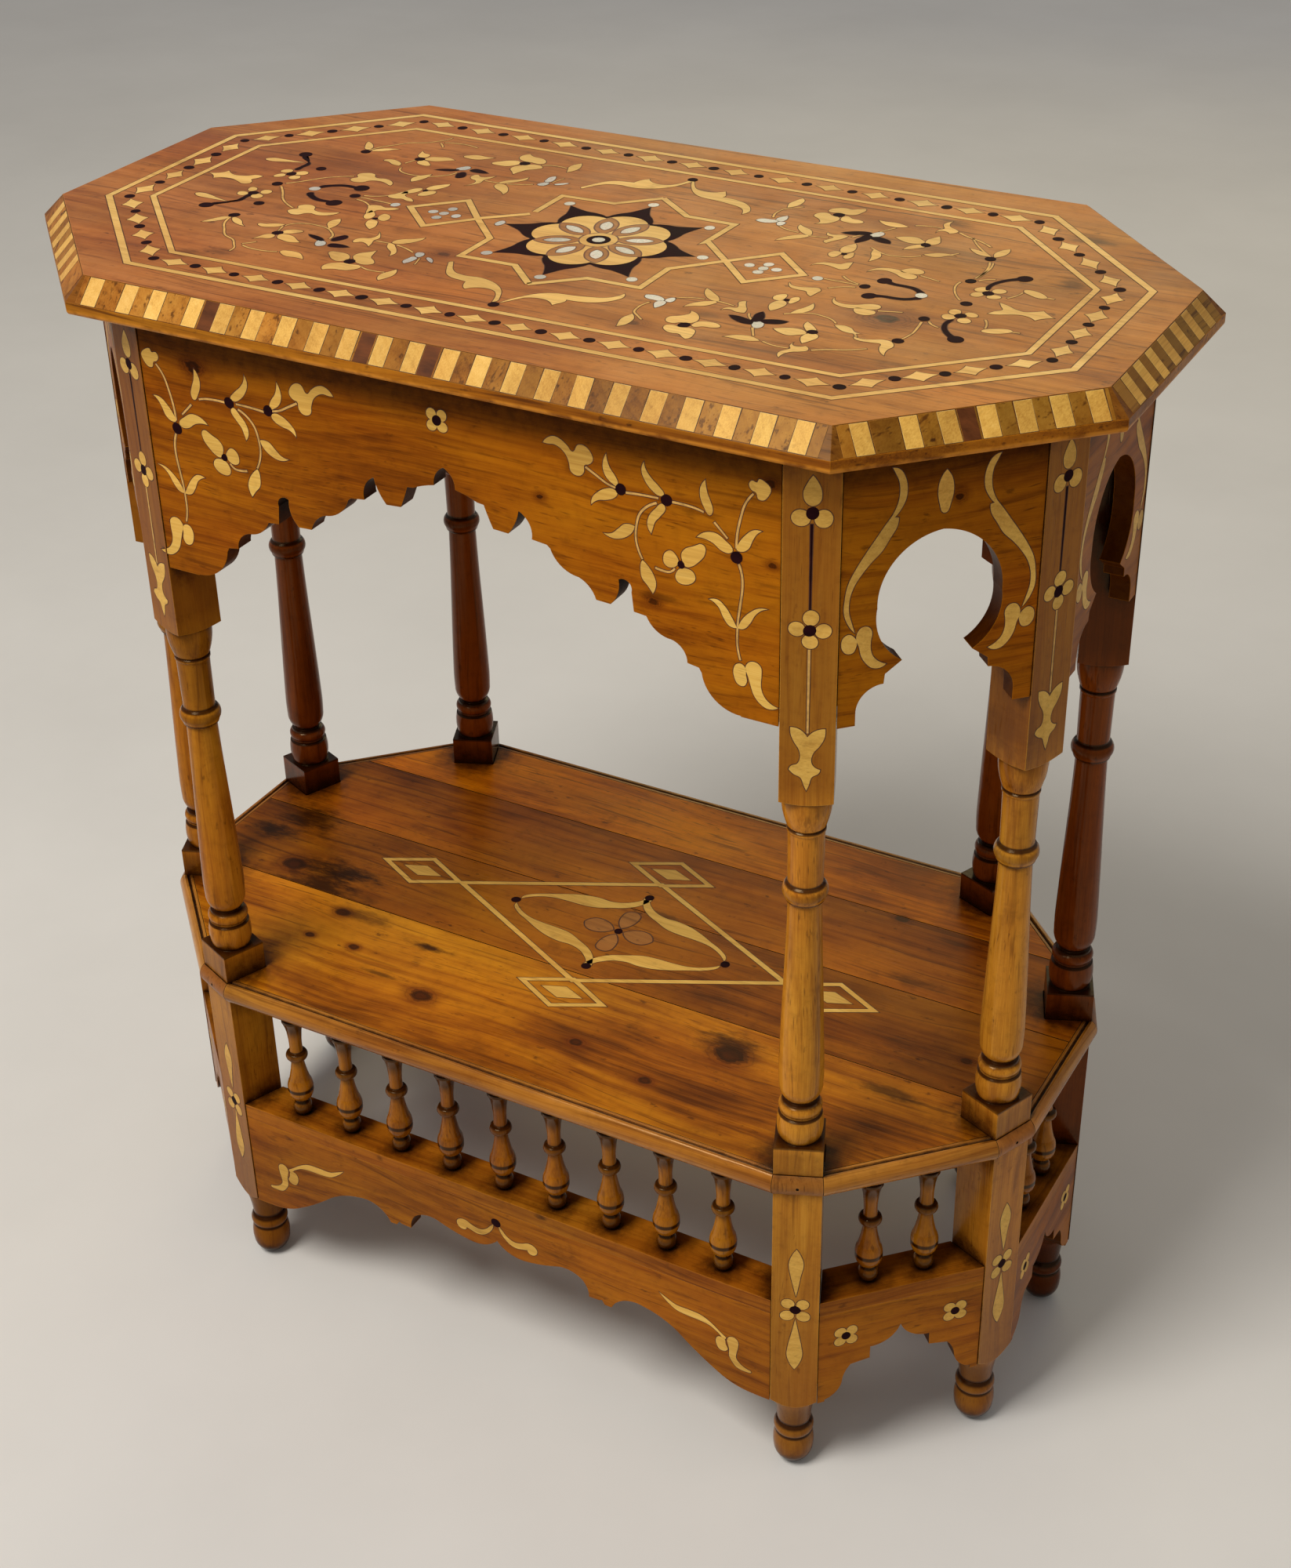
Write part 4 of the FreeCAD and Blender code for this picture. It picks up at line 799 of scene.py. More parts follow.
AXIS_L = """d3.5 -168.5,1.5 | d3.5 -224.5,-0.5 | o3 -137.5,-1.4 | s -141,-1 -164,1 | o3.4 -198.3,1.8
| w -276.4,-1.4^ -270.1,0.5 -266.4,6.8^ -262.6,3.6 -257.6,1.8 -250.8,3.6 -245.8,7.4 -241,7^ -242,3
-243.9,-0.8 -241.4,-3.3 -240.5,-7^ -243.9,-9.3 -249.5,-7 -255.8,-4.5 -262,-5.1 -267,-8.5^ -271.4,-3.3"""
BACK_MORE = """d3.3 212.3,66.9 | w 213.5,70^ 216.5,73.5 218,79 216.5,86^ 213,82 211.3,76
| w 210,70^ 206.5,74 202,76.5 196,77.5^ 200,73 204.5,70.3 | s 214,62 217,50 217,37
| s 211,70 203,78 197,85 191,94 | s1.2 211,27 211,20 215,10 221,2"""
PEARLS = """o2.9 96.8,0 106,5.5 106,-1.3 113.5,-0.1 105.8,-7.6 -110.4,-1.8 -102.9,-1.8 -94,-2.6
-103.3,-9.5 -102.3,6.8 | o3.2 1,64.8 49,44.1 67.9,-0.7 49,-47.9 1.8,-66.7 -45,-47.2 -45,45.4
| p -66.4,-4 -64,-6 -62,-3 -62.3,1 -64.8,2.6 -66.6,-0.5 | d3.3 0.5,-113 0.3,115.5"""
DOTS = """-210.1,-137.2 -181,-136.8 -153.2,-137.9 -124.3,-136.8 -96.6,-136.3 -69.4,-135.4 -40.6,-135.4
-12.8,-135.5 14.9,-135 43.3,-135 71.8,-134 100.7,-133.6 127.8,-133.3 155.3,-133 183.3,-132.8 212.7,-132
232.8,-110.5 252.8,-93.9 272.1,-74.6 293.9,-53.9 294.3,-27.2 293.9,-1.2 293.2,25 291.7,53.4 273.4,74.3
253.9,94.6 234.6,113.4 215,135.2 186.2,136 157.3,136 127.1,136.6 96.2,137.2 66,137.9 33.3,138.8 1.8,140.2
-27.2,140.1 -58.3,140.6 -89,141 -120.6,142.3 -151,142.3 -182.3,142.8 -212.3,143.2 -233.4,122.1 -255,100.6
-275,81 -294.6,60.1 -293.9,29.4 -293.2,1 -291.7,-29.4 -291.7,-58.3 -271,-78.3 -251.7,-98.3 -230.6,-118.3"""
OUTER = """-303.9,-62.8 -219.2,-149.4 215,-146.1 307.9,-60.6 308.3,58.8 220,148.1 -220.6,155 -306.1,66.1"""
INNER = """-279,-51.7 -207.2,-124.5 207.2,-119.2 280.1,-51 280.6,48.3 208.3,121.9 -208.3,128.3 -279.4,55.7"""
FIGURE = ("1,-79 26,-57 59,-57 59,-24.5 82,0",
          "82,0 59,23 58,22 59.4,55.4 28,56 0.6,78",
          "0.6,78 -21.3,57.3 -56,56 -56,24",
          "-56.9,19.6 -80,0",
          "-80,-1 -56,-26 -56,-57.6 -20.4,-57 1.5,-78.3")
DIAMONDS = ("82,0 105.5,-24.5 130,-0.5 105,24",
            "-80,-1 -102.3,-25 -127.5,-0.5 -102.3,24")
# widths of the light lines of the top, and the sizes of the dots and lozenges of its border
OUTER_LINE, INNER_LINE, FIGURE_LINE = 4.0, 3.5, 3.8
BORDER_DOT, LOZENGE_HALF_LENGTH, LOZENGE_HALF_WIDTH = 3.2, 9.2, 6.1
# the star in the middle, the hollow between two of its points (angle, radius), and the ovals of its petals
STAR_MIDDLE, STAR_REACH = np.array((1.4, -1.3)), 62
STAR_HOLLOW = ((3.2, 55), (7.5, 49.3), (13, 45.8), (18.5, 42.2), (22.5, 39.4), (26.5, 42.2), (32, 45.8),
               (37.5, 49.3), (41.8, 55))
OVALS = "-6.5,22.3 9.4,19.1 23.1,7.3 24.4,-10.3 10.6,-19.6 -6.9,-22.1 -19.4,-11.3 -17.5,7.3"
PETAL_AT, PETAL_RADIUS, OVAL_AT = 26.6, 15.4, 23.6
# kind, half length, half width and height of an oval's outer plates; sizes of the dark ring round its shell
OVAL_PLATES = (("b", 14.2, 7.3, 0.102), ("m", 13.2, 6.3, 0.027))
TALL_RING, WIDE_RING, RING_WIDTH = (7.8, 4.3), (8.8, 3.9), 0.8
# the round plates in the middle of the star: kind, radius, corners, height
MIDDLE_PLATES = (("w", 11, 30, 0.030), ("b", 12, 30, 0.104), ("k", 7.1, 26, 0.026), ("p", 3.7, 22, 0.034))
# the blocks of the edge: widths, the even step from one to the next, and their two ends up the slope
BLOCK, END_BLOCK, DARK_BLOCK, BLOCK_STEP = 9.6, 9.2, 9, 10.1
BLOCK_LOW, BLOCK_HIGH, BROWN_HIGH = 0.5, 17.1, 17.2
# where the light blocks begin, by the side's angle; the sides not seen get even ones. Then the dark ones
EDGE_BLOCKS = {0: """-223.4 -198.9 -179.2 -153.7 -133.9 -113.4 -92.6 -71.9 -51.9 -30.9 -11.1 9.4 29.2 49.8
69.7 89.4 110 130.6 150.9 171.4 191.4 211.4""",
               45: "-63.9 -38.9 -19.2 1.1 20 39.2 58.9",
               90: "-60.5 -42 -24 -5 14.5 33.5 52",
               315: "-59.6 -41.6 -21.6 -1.6 17.4 36.4"}
DARK_BLOCKS = {0: (-143, -41, -1), 45: (-9,)}
# the small flowers of the aprons: place, how far out the petals lie, and their radius
UPPER_FLOWER, LOWER_FLOWER = (-2, 695, 4.6, 3.2), (36.5, 117, 5.4, 3.8)
# the drawings of the aprons and of a leg (x right, y up from the floor)
APRON = """w 63.5,695.8^ 66,698.8 70,700.5 74,699.6 78,696.8 81,694 84.5,698.5 88,698.8 92,695.5 93,691.5
90.5,688.8 88,688 87.5,684 85.5,681.6 82,681.2 79.5,683 78.8,687 77,691.5 73.5,694.8 70,696 66.5,695.6
| s 88.5,687 95,683.5 101,680.3 106,679
| w 101,697^ 99,692 99,687.5 101,683.5 104.5,680.8 106.5,680 107.5,682 106,685.5 103,689.5 101.5,693.5
| w 91.3,666.5^ 92,670.5 95,674 99.5,677 104.5,678 107,676 105,673 100,670.8 95.5,669.8 | d3.2 109,678.7
| s 112,677.5 121,678.2 131,678.4
| w 123,697^ 121.5,692 123.5,686.5 127.5,682 132,679.8 134.3,681 131.5,685 127,689 124,693
| w 126.5,657.5^ 124.3,662 125.5,667.5 129,672 133.5,675.8 135,673.5 132,668.5 128.8,664.5 127.6,661
| d3.3 135.7,678.3 | s 139,678 146,678 152,677.5 157,676.3 | s1.2 163,672 170.5,664.5
| w 158,694.3^ 155.3,690 155,685 157,679.5 160.5,675.3 162.2,678 161,683 159.3,687 158.5,690.5
| w 153,661.5^ 158,665.3 164,666 169,663.3 173.5,658.5 171.5,656.5 167,657 162,660.3 157,661.6
| w 189.8,672.8^ 185,672.3 180.5,668.5 177,663.5 175.8,659.3 179,659 182.5,661.5 184.5,666 187,670.5
| d3.4 175.6,655 | s 175.6,660 176,668 178,678 180.5,686 185,692.5
| w 182.5,697 184,699.5 187,699 188,701 191,700.3 194.5,697 193,692.5 190.5,690 187.5,690.3 186.5,693.3
184,694.3 | s 177,651.5 178.8,645 179,638 177.8,628 176.7,620 176.2,612 176.3,604 178,596
| w 160,627.5^ 165,628.3 169.5,625 173,620 176,614.5^ 171.5,614.8 168,619 165.5,624 162.5,626.5
| w 193.5,629.5^ 188,628.6 183,625 178.8,620 176.5,614.5^ 180,615 183.5,619 186.5,624.5 190,628
| w 174,589.5 175.5,593 178.5,594 181,592 181.3,588 181.8,584 180,581 176.5,581.5 174.5,585
| w 181,592.5 183,596 186.5,597 189.8,595 190.3,590 190,584 191,579.5 194,575.5 200,573^ 194,571 189.5,573
186,577 184,582.5 182.5,587.5 | s 130,675.5 124,672 119.8,667 117.8,660 117.3,653 118.5,647 121,641.5
| w 121,641^ 124,638.5 127.3,634 128.8,629 126.8,622.8^ 124,626.5 120.5,630.5 119.7,635 120,639
| w 98.2,651.5^ 103,652.5 107,656 111,659.5 116.8,659.5^ 115.5,656 112,652.5 107.5,650.3 103,649.8
| w 141,648 142.3,645 140.5,641.8 137,640.5 134,641.8 133.3,645 134.5,648.5 138,650.3
| w 144.5,646 144,650 146.5,653.5 150.5,655.5 154.5,657.8^ 157.5,657 157.3,652 154,647.5 150,644 146.5,643
| w 141.5,639.5 143.5,641.3 147,642 150.5,641 152,637.5 150,634.3 145.5,632.5 142,633 140.3,635.5
| d2.2 143.7,643.5 | s 128.5,638.3 133,637.6 137,637.8 140,640.5"""
SHORT = """w -25.5,707^ -21.5,705.5 -18.3,700 -17.3,694 -18,688.5 -20.8,683 -23.5,679.8^ -21.3,679.3^
-22,674.5 -25.5,668.5 -29.5,662 -35,656.5 -40,650.5 -43.8,644.5 -46,638 -46.3,630 -44.5,623 -42.8,617.5^
-46.5,622.5 -49,629.5 -48.8,637.5 -47.3,645.5 -43.5,653.5 -38.5,661.5 -33,669.5 -28.5,676 -24.5,681.5
-22,687.5 -21.2,693 -21.8,699 -24,704
| w -50,612 -49,615.5 -46,617 -43,615 -41.5,612 -42,608.5 -43.5,606 -47,606 -49.3,608.5
| w -41.5,617 -39,620 -35.5,619.8 -33.3,616.5 -33.8,611.5 -33.8,607 -32.5,602.5 -29.5,599 -25,596.5^
-28,594.8 -32.5,595.3 -36.5,599 -39,603.5 -40.3,609 -41.8,613"""
LENS = "w 0,702^ 3.2,697 4.2,690 3,683.5 1,678.5 -1,678.5 -3,683.5 -4.2,690 -3.2,697"
LOW = """w 2,125^ 4,123 8,118.5 13,116 19,117 24,119.3 28,119 31,116 30.5,112.5 27.5,110.3 24.5,111
23.5,113.3^ 20,112.3 15,111.2 10,112.5 6,116 3,120.5
| w 122,120.8^ 127,118.3 134,115.3 143,115.2 152,114.5 160,110.5 165,106.5 169.5,103.3^ 168.8,101.5
164,105 158,108.5 150,109.6 142,109.8 134,111 128,114.8
| w 162.3,98 163.5,101.3 166,102.3 168.8,101 169.3,97.5 170.8,93.5 168.5,91 165,91 163,94
| w 170.3,101.5 172,105 175.5,105.8 178,103.5 178,98 177,93 176.8,88.5 180,84.5 186.5,82^ 187.5,81
183,79.8 177.5,80.5 174,84 171.8,88.5 171.8,94 171,98"""
LEG = """w 0.2,706.5^ 3.3,702 4.8,697 3.8,692 0.2,690 -3.2,692 -4.5,697 -2.7,702 | f0.7 0,632 0,680
| s1.4 0,609 0,559
| w -9,562.5^ -4.2,561.3 0,556.5^ 4,560.5 9.3,562^ 8.8,556 6.3,551 3.3,547 2.3,541.5 3.8,538.5 7.1,536.8^
6.3,534.5 2.8,532 1.3,527 0,523.5^ -1.5,527 -3.2,531.5 -6.7,533.5 -9.5,536.5^ -8.2,538.8 -5.2,540
-3.7,543.5 -4.2,548.5 -6.7,553 -8.7,558
| w 0.2,194^ 3.2,188 4.6,182 3,172 1.2,160 0.3,155^ -1.2,162 -3.2,172 -4.4,182 -3,188
| w 0.2,136^ 2,126 4.4,112 5,105 3,97.5 0.2,92.5^ -2.8,97.5 -4.8,105 -4.2,112 -1.6,126"""
LEG_PETALS = ((-5.5, 683.4, 4.7), (5.9, 683.2, 4.8), (0.6, 627.3, 4.3), (-6.6, 620.8, 4.2), (7, 620, 4.2),
              (0.3, 613.6, 4.1), (-4.6, 148.7, 4.0), (4.6, 148.3, 4.0), (-5, 138.6, 4.2), (5, 138.4, 4.2))
# the rhombus of the shelf, the small ones at its corners, and the plates in these: half length, half width
SHELF_RHOMBUS, SMALL_RHOMBUS, RHOMBUS_PLATE = (126, 62), (30.5, 15.5), (15.5, 6.3)
SMALL_AT = ((159, 0), (-159, 0), (0, 76), (0, -76))
SHELF_LEAF = """w 79,3^ 72,9 62,13.5 50,15 38,15.5 28,17 18,21.5 9,26 2,32 -3,42^ 1,41 5,36.5 12,31 22,28
30,28.3 42,26.3 52,22.5 62,17.5 72,12.5 79,6"""

# the largest knots (x, y, z, radius, strength) and smudges (x, y, z, half length, half width, strength),
# in metres, with patches of painted shade among the smudges; those of the shelf and the top are written
# without z
BOARD_KNOTS = {
    ("upper_apron", 0): ((-0.1633, -0.170, 0.695, 0.0036, 1.0), (0.1945, -0.170, 0.700, 0.0022, 1.0),
                         (0.060, -0.170, 0.664, 0.0016, 0.9), (0.127, -0.170, 0.618, 0.0022, 0.8),
                         (0.196, -0.170, 0.655, 0.0016, 0.8)),
    ("upper_apron", -45): ((0.2726, -0.1145, 0.686, 0.0022, 0.9),)}
BOARD_SMUDGES = {
    ("upper_apron", 0): ((0.083, -0.170, 0.686, 0.010, 0.006, 0.5), (0.150, -0.170, 0.676, 0.010, 0.005, 0.5),
                         (0.130, -0.170, 0.622, 0.020, 0.004, 0.5), (0.0, -0.170, 0.700, 0.012, 0.007, 0.5)),
    ("lower_apron", 0): ((0.05, -0.170, 0.118, 0.03, 0.005, 0.3),),
    ("gallery_rail", 0): ((0.036, -0.171, 0.147, 0.006, 0.003, 0.8),
                          (-0.09, -0.171, 0.146, 0.004, 0.003, 0.6))}
# painted shade on the shaded side of the right front leg's block and at the top of the front left leg
LEG_PAINTED_SHADE = {"leg_right_front": ((0.2926, -0.0759, 0.535, 0.030, 0.020, 0.6),),
               "leg_front_left": ((-0.2005, -0.1560, 0.552, 0.010, 0.009, 0.9),)}
SHELF_KNOTS = ((0.128, -0.083, 0.0085, 1.0), (-0.080, -0.122, 0.0060, 0.9), (-0.245, -0.035, 0.0070, 0.9),
               (0.035, -0.117, 0.0036, 0.9), (-0.180, -0.068, 0.0042, 0.9), (0.092, -0.130, 0.0034, 0.9),
               (-0.150, -0.098, 0.0030, 0.9), (0.165, 0.102, 0.004, 0.8), (-0.185, -0.100, 0.0026, 0.9),
               (0.262, -0.020, 0.0030, 0.8))
SHELF_SMUDGES_AND_SHADE = ((0.122, -0.075, 0.026, 0.015, 0.9), (-0.105, -0.075, 0.022, 0.0045, 0.95),
                 (-0.212, -0.048, 0.046, 0.020, 0.88), (-0.205, -0.028, 0.044, 0.015, 0.95),
                 (-0.286, -0.005, 0.024, 0.014, 0.9), (-0.165, -0.066, 0.030, 0.008, 0.6),
                 (0.02, 0.03, 0.024, 0.007, 0.7), (0.23, -0.07, 0.03, 0.008, 0.75),
                 (-0.27, 0.02, 0.036, 0.020, 0.85), (-0.12, -0.115, 0.02, 0.003, 0.7),
                 (0.20, 0.04, 0.024, 0.008, 0.6),
                 # these two broad faint patches are painted shade at the shelf's right and left ends
                 (0.245, -0.040, 0.060, 0.034, 0.34), (-0.245, -0.015, 0.065, 0.036, 0.34))
TOP_KNOTS = ((0.1969, -0.0392, 0.0052, 1.0), (-0.066, -0.0595, 0.003, 0.7), (0.080, -0.103, 0.003, 0.6))
TOP_SMUDGES = ((0.172, 0.113, 0.014, 0.008, 0.7), (0.254, 0.1206, 0.018, 0.009, 0.7),
               (0.108, -0.077, 0.010, 0.006, 0.45), (-0.182, -0.112, 0.016, 0.008, 0.5),
               (-0.200, -0.122, 0.012, 0.008, 0.5), (0.266, 0.052, 0.010, 0.012, 0.6),
               (-0.190, -0.052, 0.110, 0.060, 0.14), (0.212, -0.010, 0.080, 0.055, 0.07))
# each shelf board's middle line (y) and mean colour, from the front
SHELF_BOARDS = ((-0.11, (178, 105, 14)), (-0.013, (142, 77, 8)), (0.066, (162, 86, 8)),
                (0.137, (208, 114, 8)))
# dark lines at a height, in metres: z, half height, strength
LEG_BANDS = ((0.4925, 0.0012, 0.80), (0.4555, 0.0015, 0.90), (0.4500, 0.0030, 0.35), (0.4446, 0.0012, 0.80),
             (0.3024, 0.0024, 0.95), (0.2920, 0.0014, 0.85), (0.2738, 0.0016, 0.80), (0.2600, 0.0120, 0.30),
             (0.0440, 0.0110, 0.35), (0.0357, 0.0026, 0.95), (0.0264, 0.0018, 0.90), (0.0200, 0.0300, 0.15),
             (0.0, 0.006, 0.5))
# the wide first band is painted shade under the moulding; the thin ones are dark grooves
BALUSTER_BANDS = ((0.2290, 0.0125, 0.75), (0.1994, 0.0022, 0.6), (0.2304, 0.0012, 0.9), (0.2022, 0.0012, 0.9),
                  (0.1960, 0.0012, 0.9), (0.1604, 0.0014, 0.9), (0.1715, 0.0016, 0.95), (0.1540, 0.0045, 0.7))


# laying the inlay

def by_side(angle, long_side, end, corner):
    """The value for the long sides, the ends or the corners, whichever has its normal at that angle."""
    return {0: long_side, 90: end}.get(angle % 180, corner)


def pointed(middle, along, half_length, half_width, shoulder, tips):
    """A smooth outline of eight points with two or four sharp tips; the shoulder is given in shares."""
    across, (s, t) = left_of(along), shoulder
    line = []
    for i, (x, y) in enumerate(((1, 0), (s, t), (0, 1), (-s, t), (-1, 0), (-s, -t), (0, -1), (s, -t))):
        place = middle + along * (half_length * x) + across * (half_width * y)
        line.append((place, i % (8 // tips) == 0))
    return smooth(line)


def lay_border(bench, face):
    """Two light lines round the top, with dots and lozenges by turns between them."""
    bench.band(face, corners_of(OUTER), OUTER_LINE, closed=True)
    bench.band(face, corners_of(INNER), INNER_LINE, closed=True)
    dots = corners_of(DOTS)
    for dot, following in zip(dots, dots[1:] + dots[:1]):
        bench.plate(face, "d", circle(*dot, BORDER_DOT * chance.uniform(0.92, 1.08)), glue=0)
        half_length = LOZENGE_HALF_LENGTH * chance.uniform(0.93, 1.05)
        half_width = LOZENGE_HALF_WIDTH * chance.uniform(0.92, 1.06)
        ring = pointed((dot + following) / 2, unit(following - dot), half_length, half_width, (0.43, 0.43), 4)
        bench.plate(face, "w", ring)


def lay_star(bench, face):
    """The black star of eight points and the eight light petals on it."""
    star, petals = [], []
    for turn in range(0, 360, 45):
        star.append((STAR_MIDDLE + STAR_REACH * aim(turn), True))
        star += [(STAR_MIDDLE + radius * aim(turn + angle), False) for angle, radius in STAR_HOLLOW]
        petals.append(circle(*(STAR_MIDDLE + PETAL_AT * aim(turn)), PETAL_RADIUS, 40, 0.0))
    bench.plate(face, "k", smooth(star), lift=-0.012)
    for count, petal in enumerate(petals):
        bench.plate(face, "w", petal, lift=0.014 + 0.001 * count, glue=0)


def lay_rosette(bench, face, brown):
    """An oval of brown and shell on each petal, and the round plates of the middle."""
    def lay(kind, ring, height):
        if kind == "b":
            brown.add(face, ring, height)
        else:
            bench.plate(face, kind, ring, lift=height, glue=0)

    for place in corners_of(OVALS):
        along = unit(place - STAR_MIDDLE)
        long, wide = TALL_RING if abs(along[1]) > 0.85 else WIDE_RING
        shell = ("p", long - RING_WIDTH, wide - RING_WIDTH, 0.027)
        for kind, length, width, height in (*OVAL_PLATES, ("b", long, wide, 0.108), shell):
            lay(kind, pointed(STAR_MIDDLE + OVAL_AT * along, along, length, width, (0.55, 0.78), 2), height)
    for kind, radius, corners, height in MIDDLE_PLATES:
        lay(kind, circle(*STAR_MIDDLE, radius, corners, 0.01), height)


def lay_top(mats):
    face = Face((0, 0, TOP - TOP_SET_DOWN), (1, 0, 0), (0, 1, 0))
    bench, brown = Bench("top", "top_wood", mats), Plates("top_rosette_rings", mats["b"], "top_wood")
    lay_border(bench, face)
    for count, row in enumerate(FIGURE):
        bench.band(face, corners_of(row), FIGURE_LINE, lift=0.004 * (count % 2))
    for row in DIAMONDS:
        bench.band(face, corners_of(row), FIGURE_LINE, lift=0.012, closed=True)
    bench.draw(face, PEARLS)
    lay_star(bench, face)
    lay_rosette(bench, face, brown)
    for text in (*(motif for _, motif in MOTIFS), AXIS_R, AXIS_L, BACK_MORE):
        bench.draw(face, text)
    for shift, motif in MOTIFS:
        if shift:
            bench.draw(face, motif, lambda x, y: (x + shift[0], shift[1] - y))
    bench.make()
    brown.make()


def lay_edge(mats):
    """The checker blocks on the sloping edge of the top: light ones, and brown or a few dark ones between."""
    kinds = (("light", "e"), ("dark", "k2"), ("brown", "e2"), ("glue", "g"))
    light, dark, brown, glue = (Plates("top_edge_blocks_" + word, mats[kind], "top_wood")
                                for word, kind in kinds)
    for angle in range(0, 360, 45):
        half = by_side(angle, FRONT_EDGE_HALF, END_EDGE_HALF, CORNER_EDGE_HALF)
        flat = upright_face(angle, by_side(angle, HALF_WIDTH, HALF_LENGTH, CORNER_EDGE),
                            CORNERS.get(angle, 0) * CORNER_EDGE_MIDDLE)
        rise = (np.array((0, 0, EDGE_RISE)) - flat.out * EDGE_RUN) / math.hypot(EDGE_RUN, EDGE_RISE)
        face = Face(flat.at + np.array((0, 0, TOP - EDGE_RISE)), flat.right, rise)
        end = half - EDGE_RUN * math.tan(math.radians(22.5))
        wide = END_BLOCK if angle == 90 else BLOCK
        if angle in EDGE_BLOCKS:
            starts = [float(word) for word in EDGE_BLOCKS[angle].split()]
        else:
            pairs = int(half // BLOCK_STEP)
            first = 0 if angle == 180 else 5
            starts = [2 * BLOCK_STEP * i + first - BLOCK / 2 for i in range(-pairs // 2 - 1, pairs // 2 + 2)]
        blocks = [(start, wide) for start in starts if start > 1 - end and start + wide < end - 0.5]
        last = 1.2 - end
        for start, width in blocks + [(end - 1.2, 0)]:
            stop = start + width * chance.uniform(0.96, 1.04)
            if start - last > 2.5:
                height = 0.06 + chance.uniform(-0.01, 0.015)
                brown.add(face, strip(last + 0.4, start - 0.4, BLOCK_LOW, BROWN_HIGH), height)
            last = stop
            if width:
                ring = strip(start, stop, BLOCK_LOW, BLOCK_HIGH, lean=chance.uniform(-0.4, 0.4))
                light.add(face, ring, 0.10 + chance.uniform(-0.02, 0.03))
                glue.add(face, grow(ring, 0.22), 0.05)
        for start in DARK_BLOCKS.get(angle, ()):
            dark.add(face, strip(start, start + DARK_BLOCK, BLOCK_LOW, BLOCK_HIGH), 0.085)
    for plates in (light, brown, dark, glue):
        plates.make()


def lay_aprons(mats):
    bench = Bench("aprons", "apron_wood", mats)
    flower_x, flower_y, *petals = LOWER_FLOWER
    for angle in (0, 180):
        face = upright_face(angle, LONG_APRON_FACE)
        for side, shift in ((1, 0), (-1, -5)):
            bench.draw(face, APRON, lambda x, y: (x * side + shift, y))
            bench.draw(face, LOW, lambda x, y: (x * side, y))
        bench.draw(face, "d3.5 0,127 | d3 -2,695")
        bench.petals(face, *UPPER_FLOWER)
    for angle in (45, 90, 135, 225, 270, 315):
        distance = by_side(angle, None, END_APRON_FACE, CORNER_APRON_FACE)
        face = upright_face(angle, distance, CORNERS.get(angle, 0) * CORNER_APRON_MIDDLE)
        for side in (1, -1):
            bench.draw(face, SHORT, lambda x, y: ((x - 3.3) * side, y))
            bench.petals(face, flower_x * side, flower_y, *petals)
            bench.draw(face, f"d3.1 {flower_x * side},{flower_y}")
        bench.draw(face, LENS)
    bench.make()


def lay_legs(mats):
    bench = Bench("legs", "leg_wood", mats)
    for side_x, side_y in QUARTERS:
        for x, y, angle in LEGS:
            up, right = aim(angle)
            out = np.array((side_x * right, side_y * up, 0))
            foot = np.array((side_x * x, side_y * y, 0))
            face = Face(foot + out * LEG_FACE, (-out[1], out[0], 0), (0, 0, 1))
            bench.draw(face, LEG)
            for petal in LEG_PETALS:
                bench.plate(face, "w", circle(*petal))
            bench.draw(face, "d3.4 0.3,686 0,620 0,143.6")
    bench.make()


def lay_shelf(mats):
    """A rhombus with a small one at each corner, four leaves and a flower."""
    face = Face((0, 0, SHELF_FACE), (1, 0, 0), (0, 1, 0))
    bench = Bench("shelf", "shelf_wood", mats)
    bench.band(face, rhombus(0, 0, *SHELF_RHOMBUS), 3.5, closed=True)
    for x, y in SMALL_AT:
        bench.band(face, rhombus(x, y, *SMALL_RHOMBUS), 3.3, lift=0.012, closed=True)
        bench.plate(face, "w", rhombus(x, y, *RHOMBUS_PLATE))
    for side_x, side_y in QUARTERS:
        bench.draw(face, SHELF_LEAF, lambda x, y: (x * side_x, y * side_y))
    for turn, reach, half in ((0, 26, 7), (90, 24, 6)):
        neck, brow = round(0.7 * half, 1), round(0.8 * half, 1)
        petal = f"m 4,0^ 9,{neck} 16,{half} 22,{brow} {reach},0^ 22,-{brow} 16,-{half} 9,-{neck}"
        for side in (1, -1):
            along = side * aim(turn)
            bench.draw(face, petal, lambda x, y: x * along + y * left_of(along))
    bench.draw(face, "d3.3 81.5,0 -81.5,0 0,44 0,-44 | d3 0,0")
    bench.make()


# the woods of each piece

UPRIGHT, ACROSS = (0, math.pi / 2, 0), (0, 0, math.pi / 2)
SIDE_TURN = {"back": 0, "back_left": -45, "back_right": 45, "front": 0, "front_left": 45, "front_right": -45,
             "left": 90, "right": 90}
# the aprons' long reach spreads the painted shade of the creases under the top's overhang
APRON_LOOK = dict(ring=0.009, reach=0.026, wander=0.046, contrast=1.15, rough=0.34, coat=0.0)
RAIL_LOOK = dict(ring=0.005, reach=0.018, contrast=1.15, coat=0.0)
BOARDS = {"gallery_rail": dict(RAIL_LOOK, mean=(156, 90, 16), gloss=0.11, rough=0.34),
          "lower_apron": dict(APRON_LOOK, mean=(156, 88, 10), gloss=0.11),
          "shelf_moulding": dict(RAIL_LOOK, mean=(174, 110, 36), gloss=0.40, rough=0.17),
          # the upper aprons' band is painted shade under the top's overhang
          "upper_apron": dict(APRON_LOOK, mean=(161, 90, 8), gloss=0.05, bands=((0.7194, 0.0260, 0.58),))}
LEG_SHADE = (0.485, 0.030, 0.35)
LEG_LOOK = dict(turn=UPRIGHT, ring=0.006, contrast=0.9, foot=0.70, high=0.65, reach=0.019, rough=0.18,
                coat=0.0, crease=1.0)
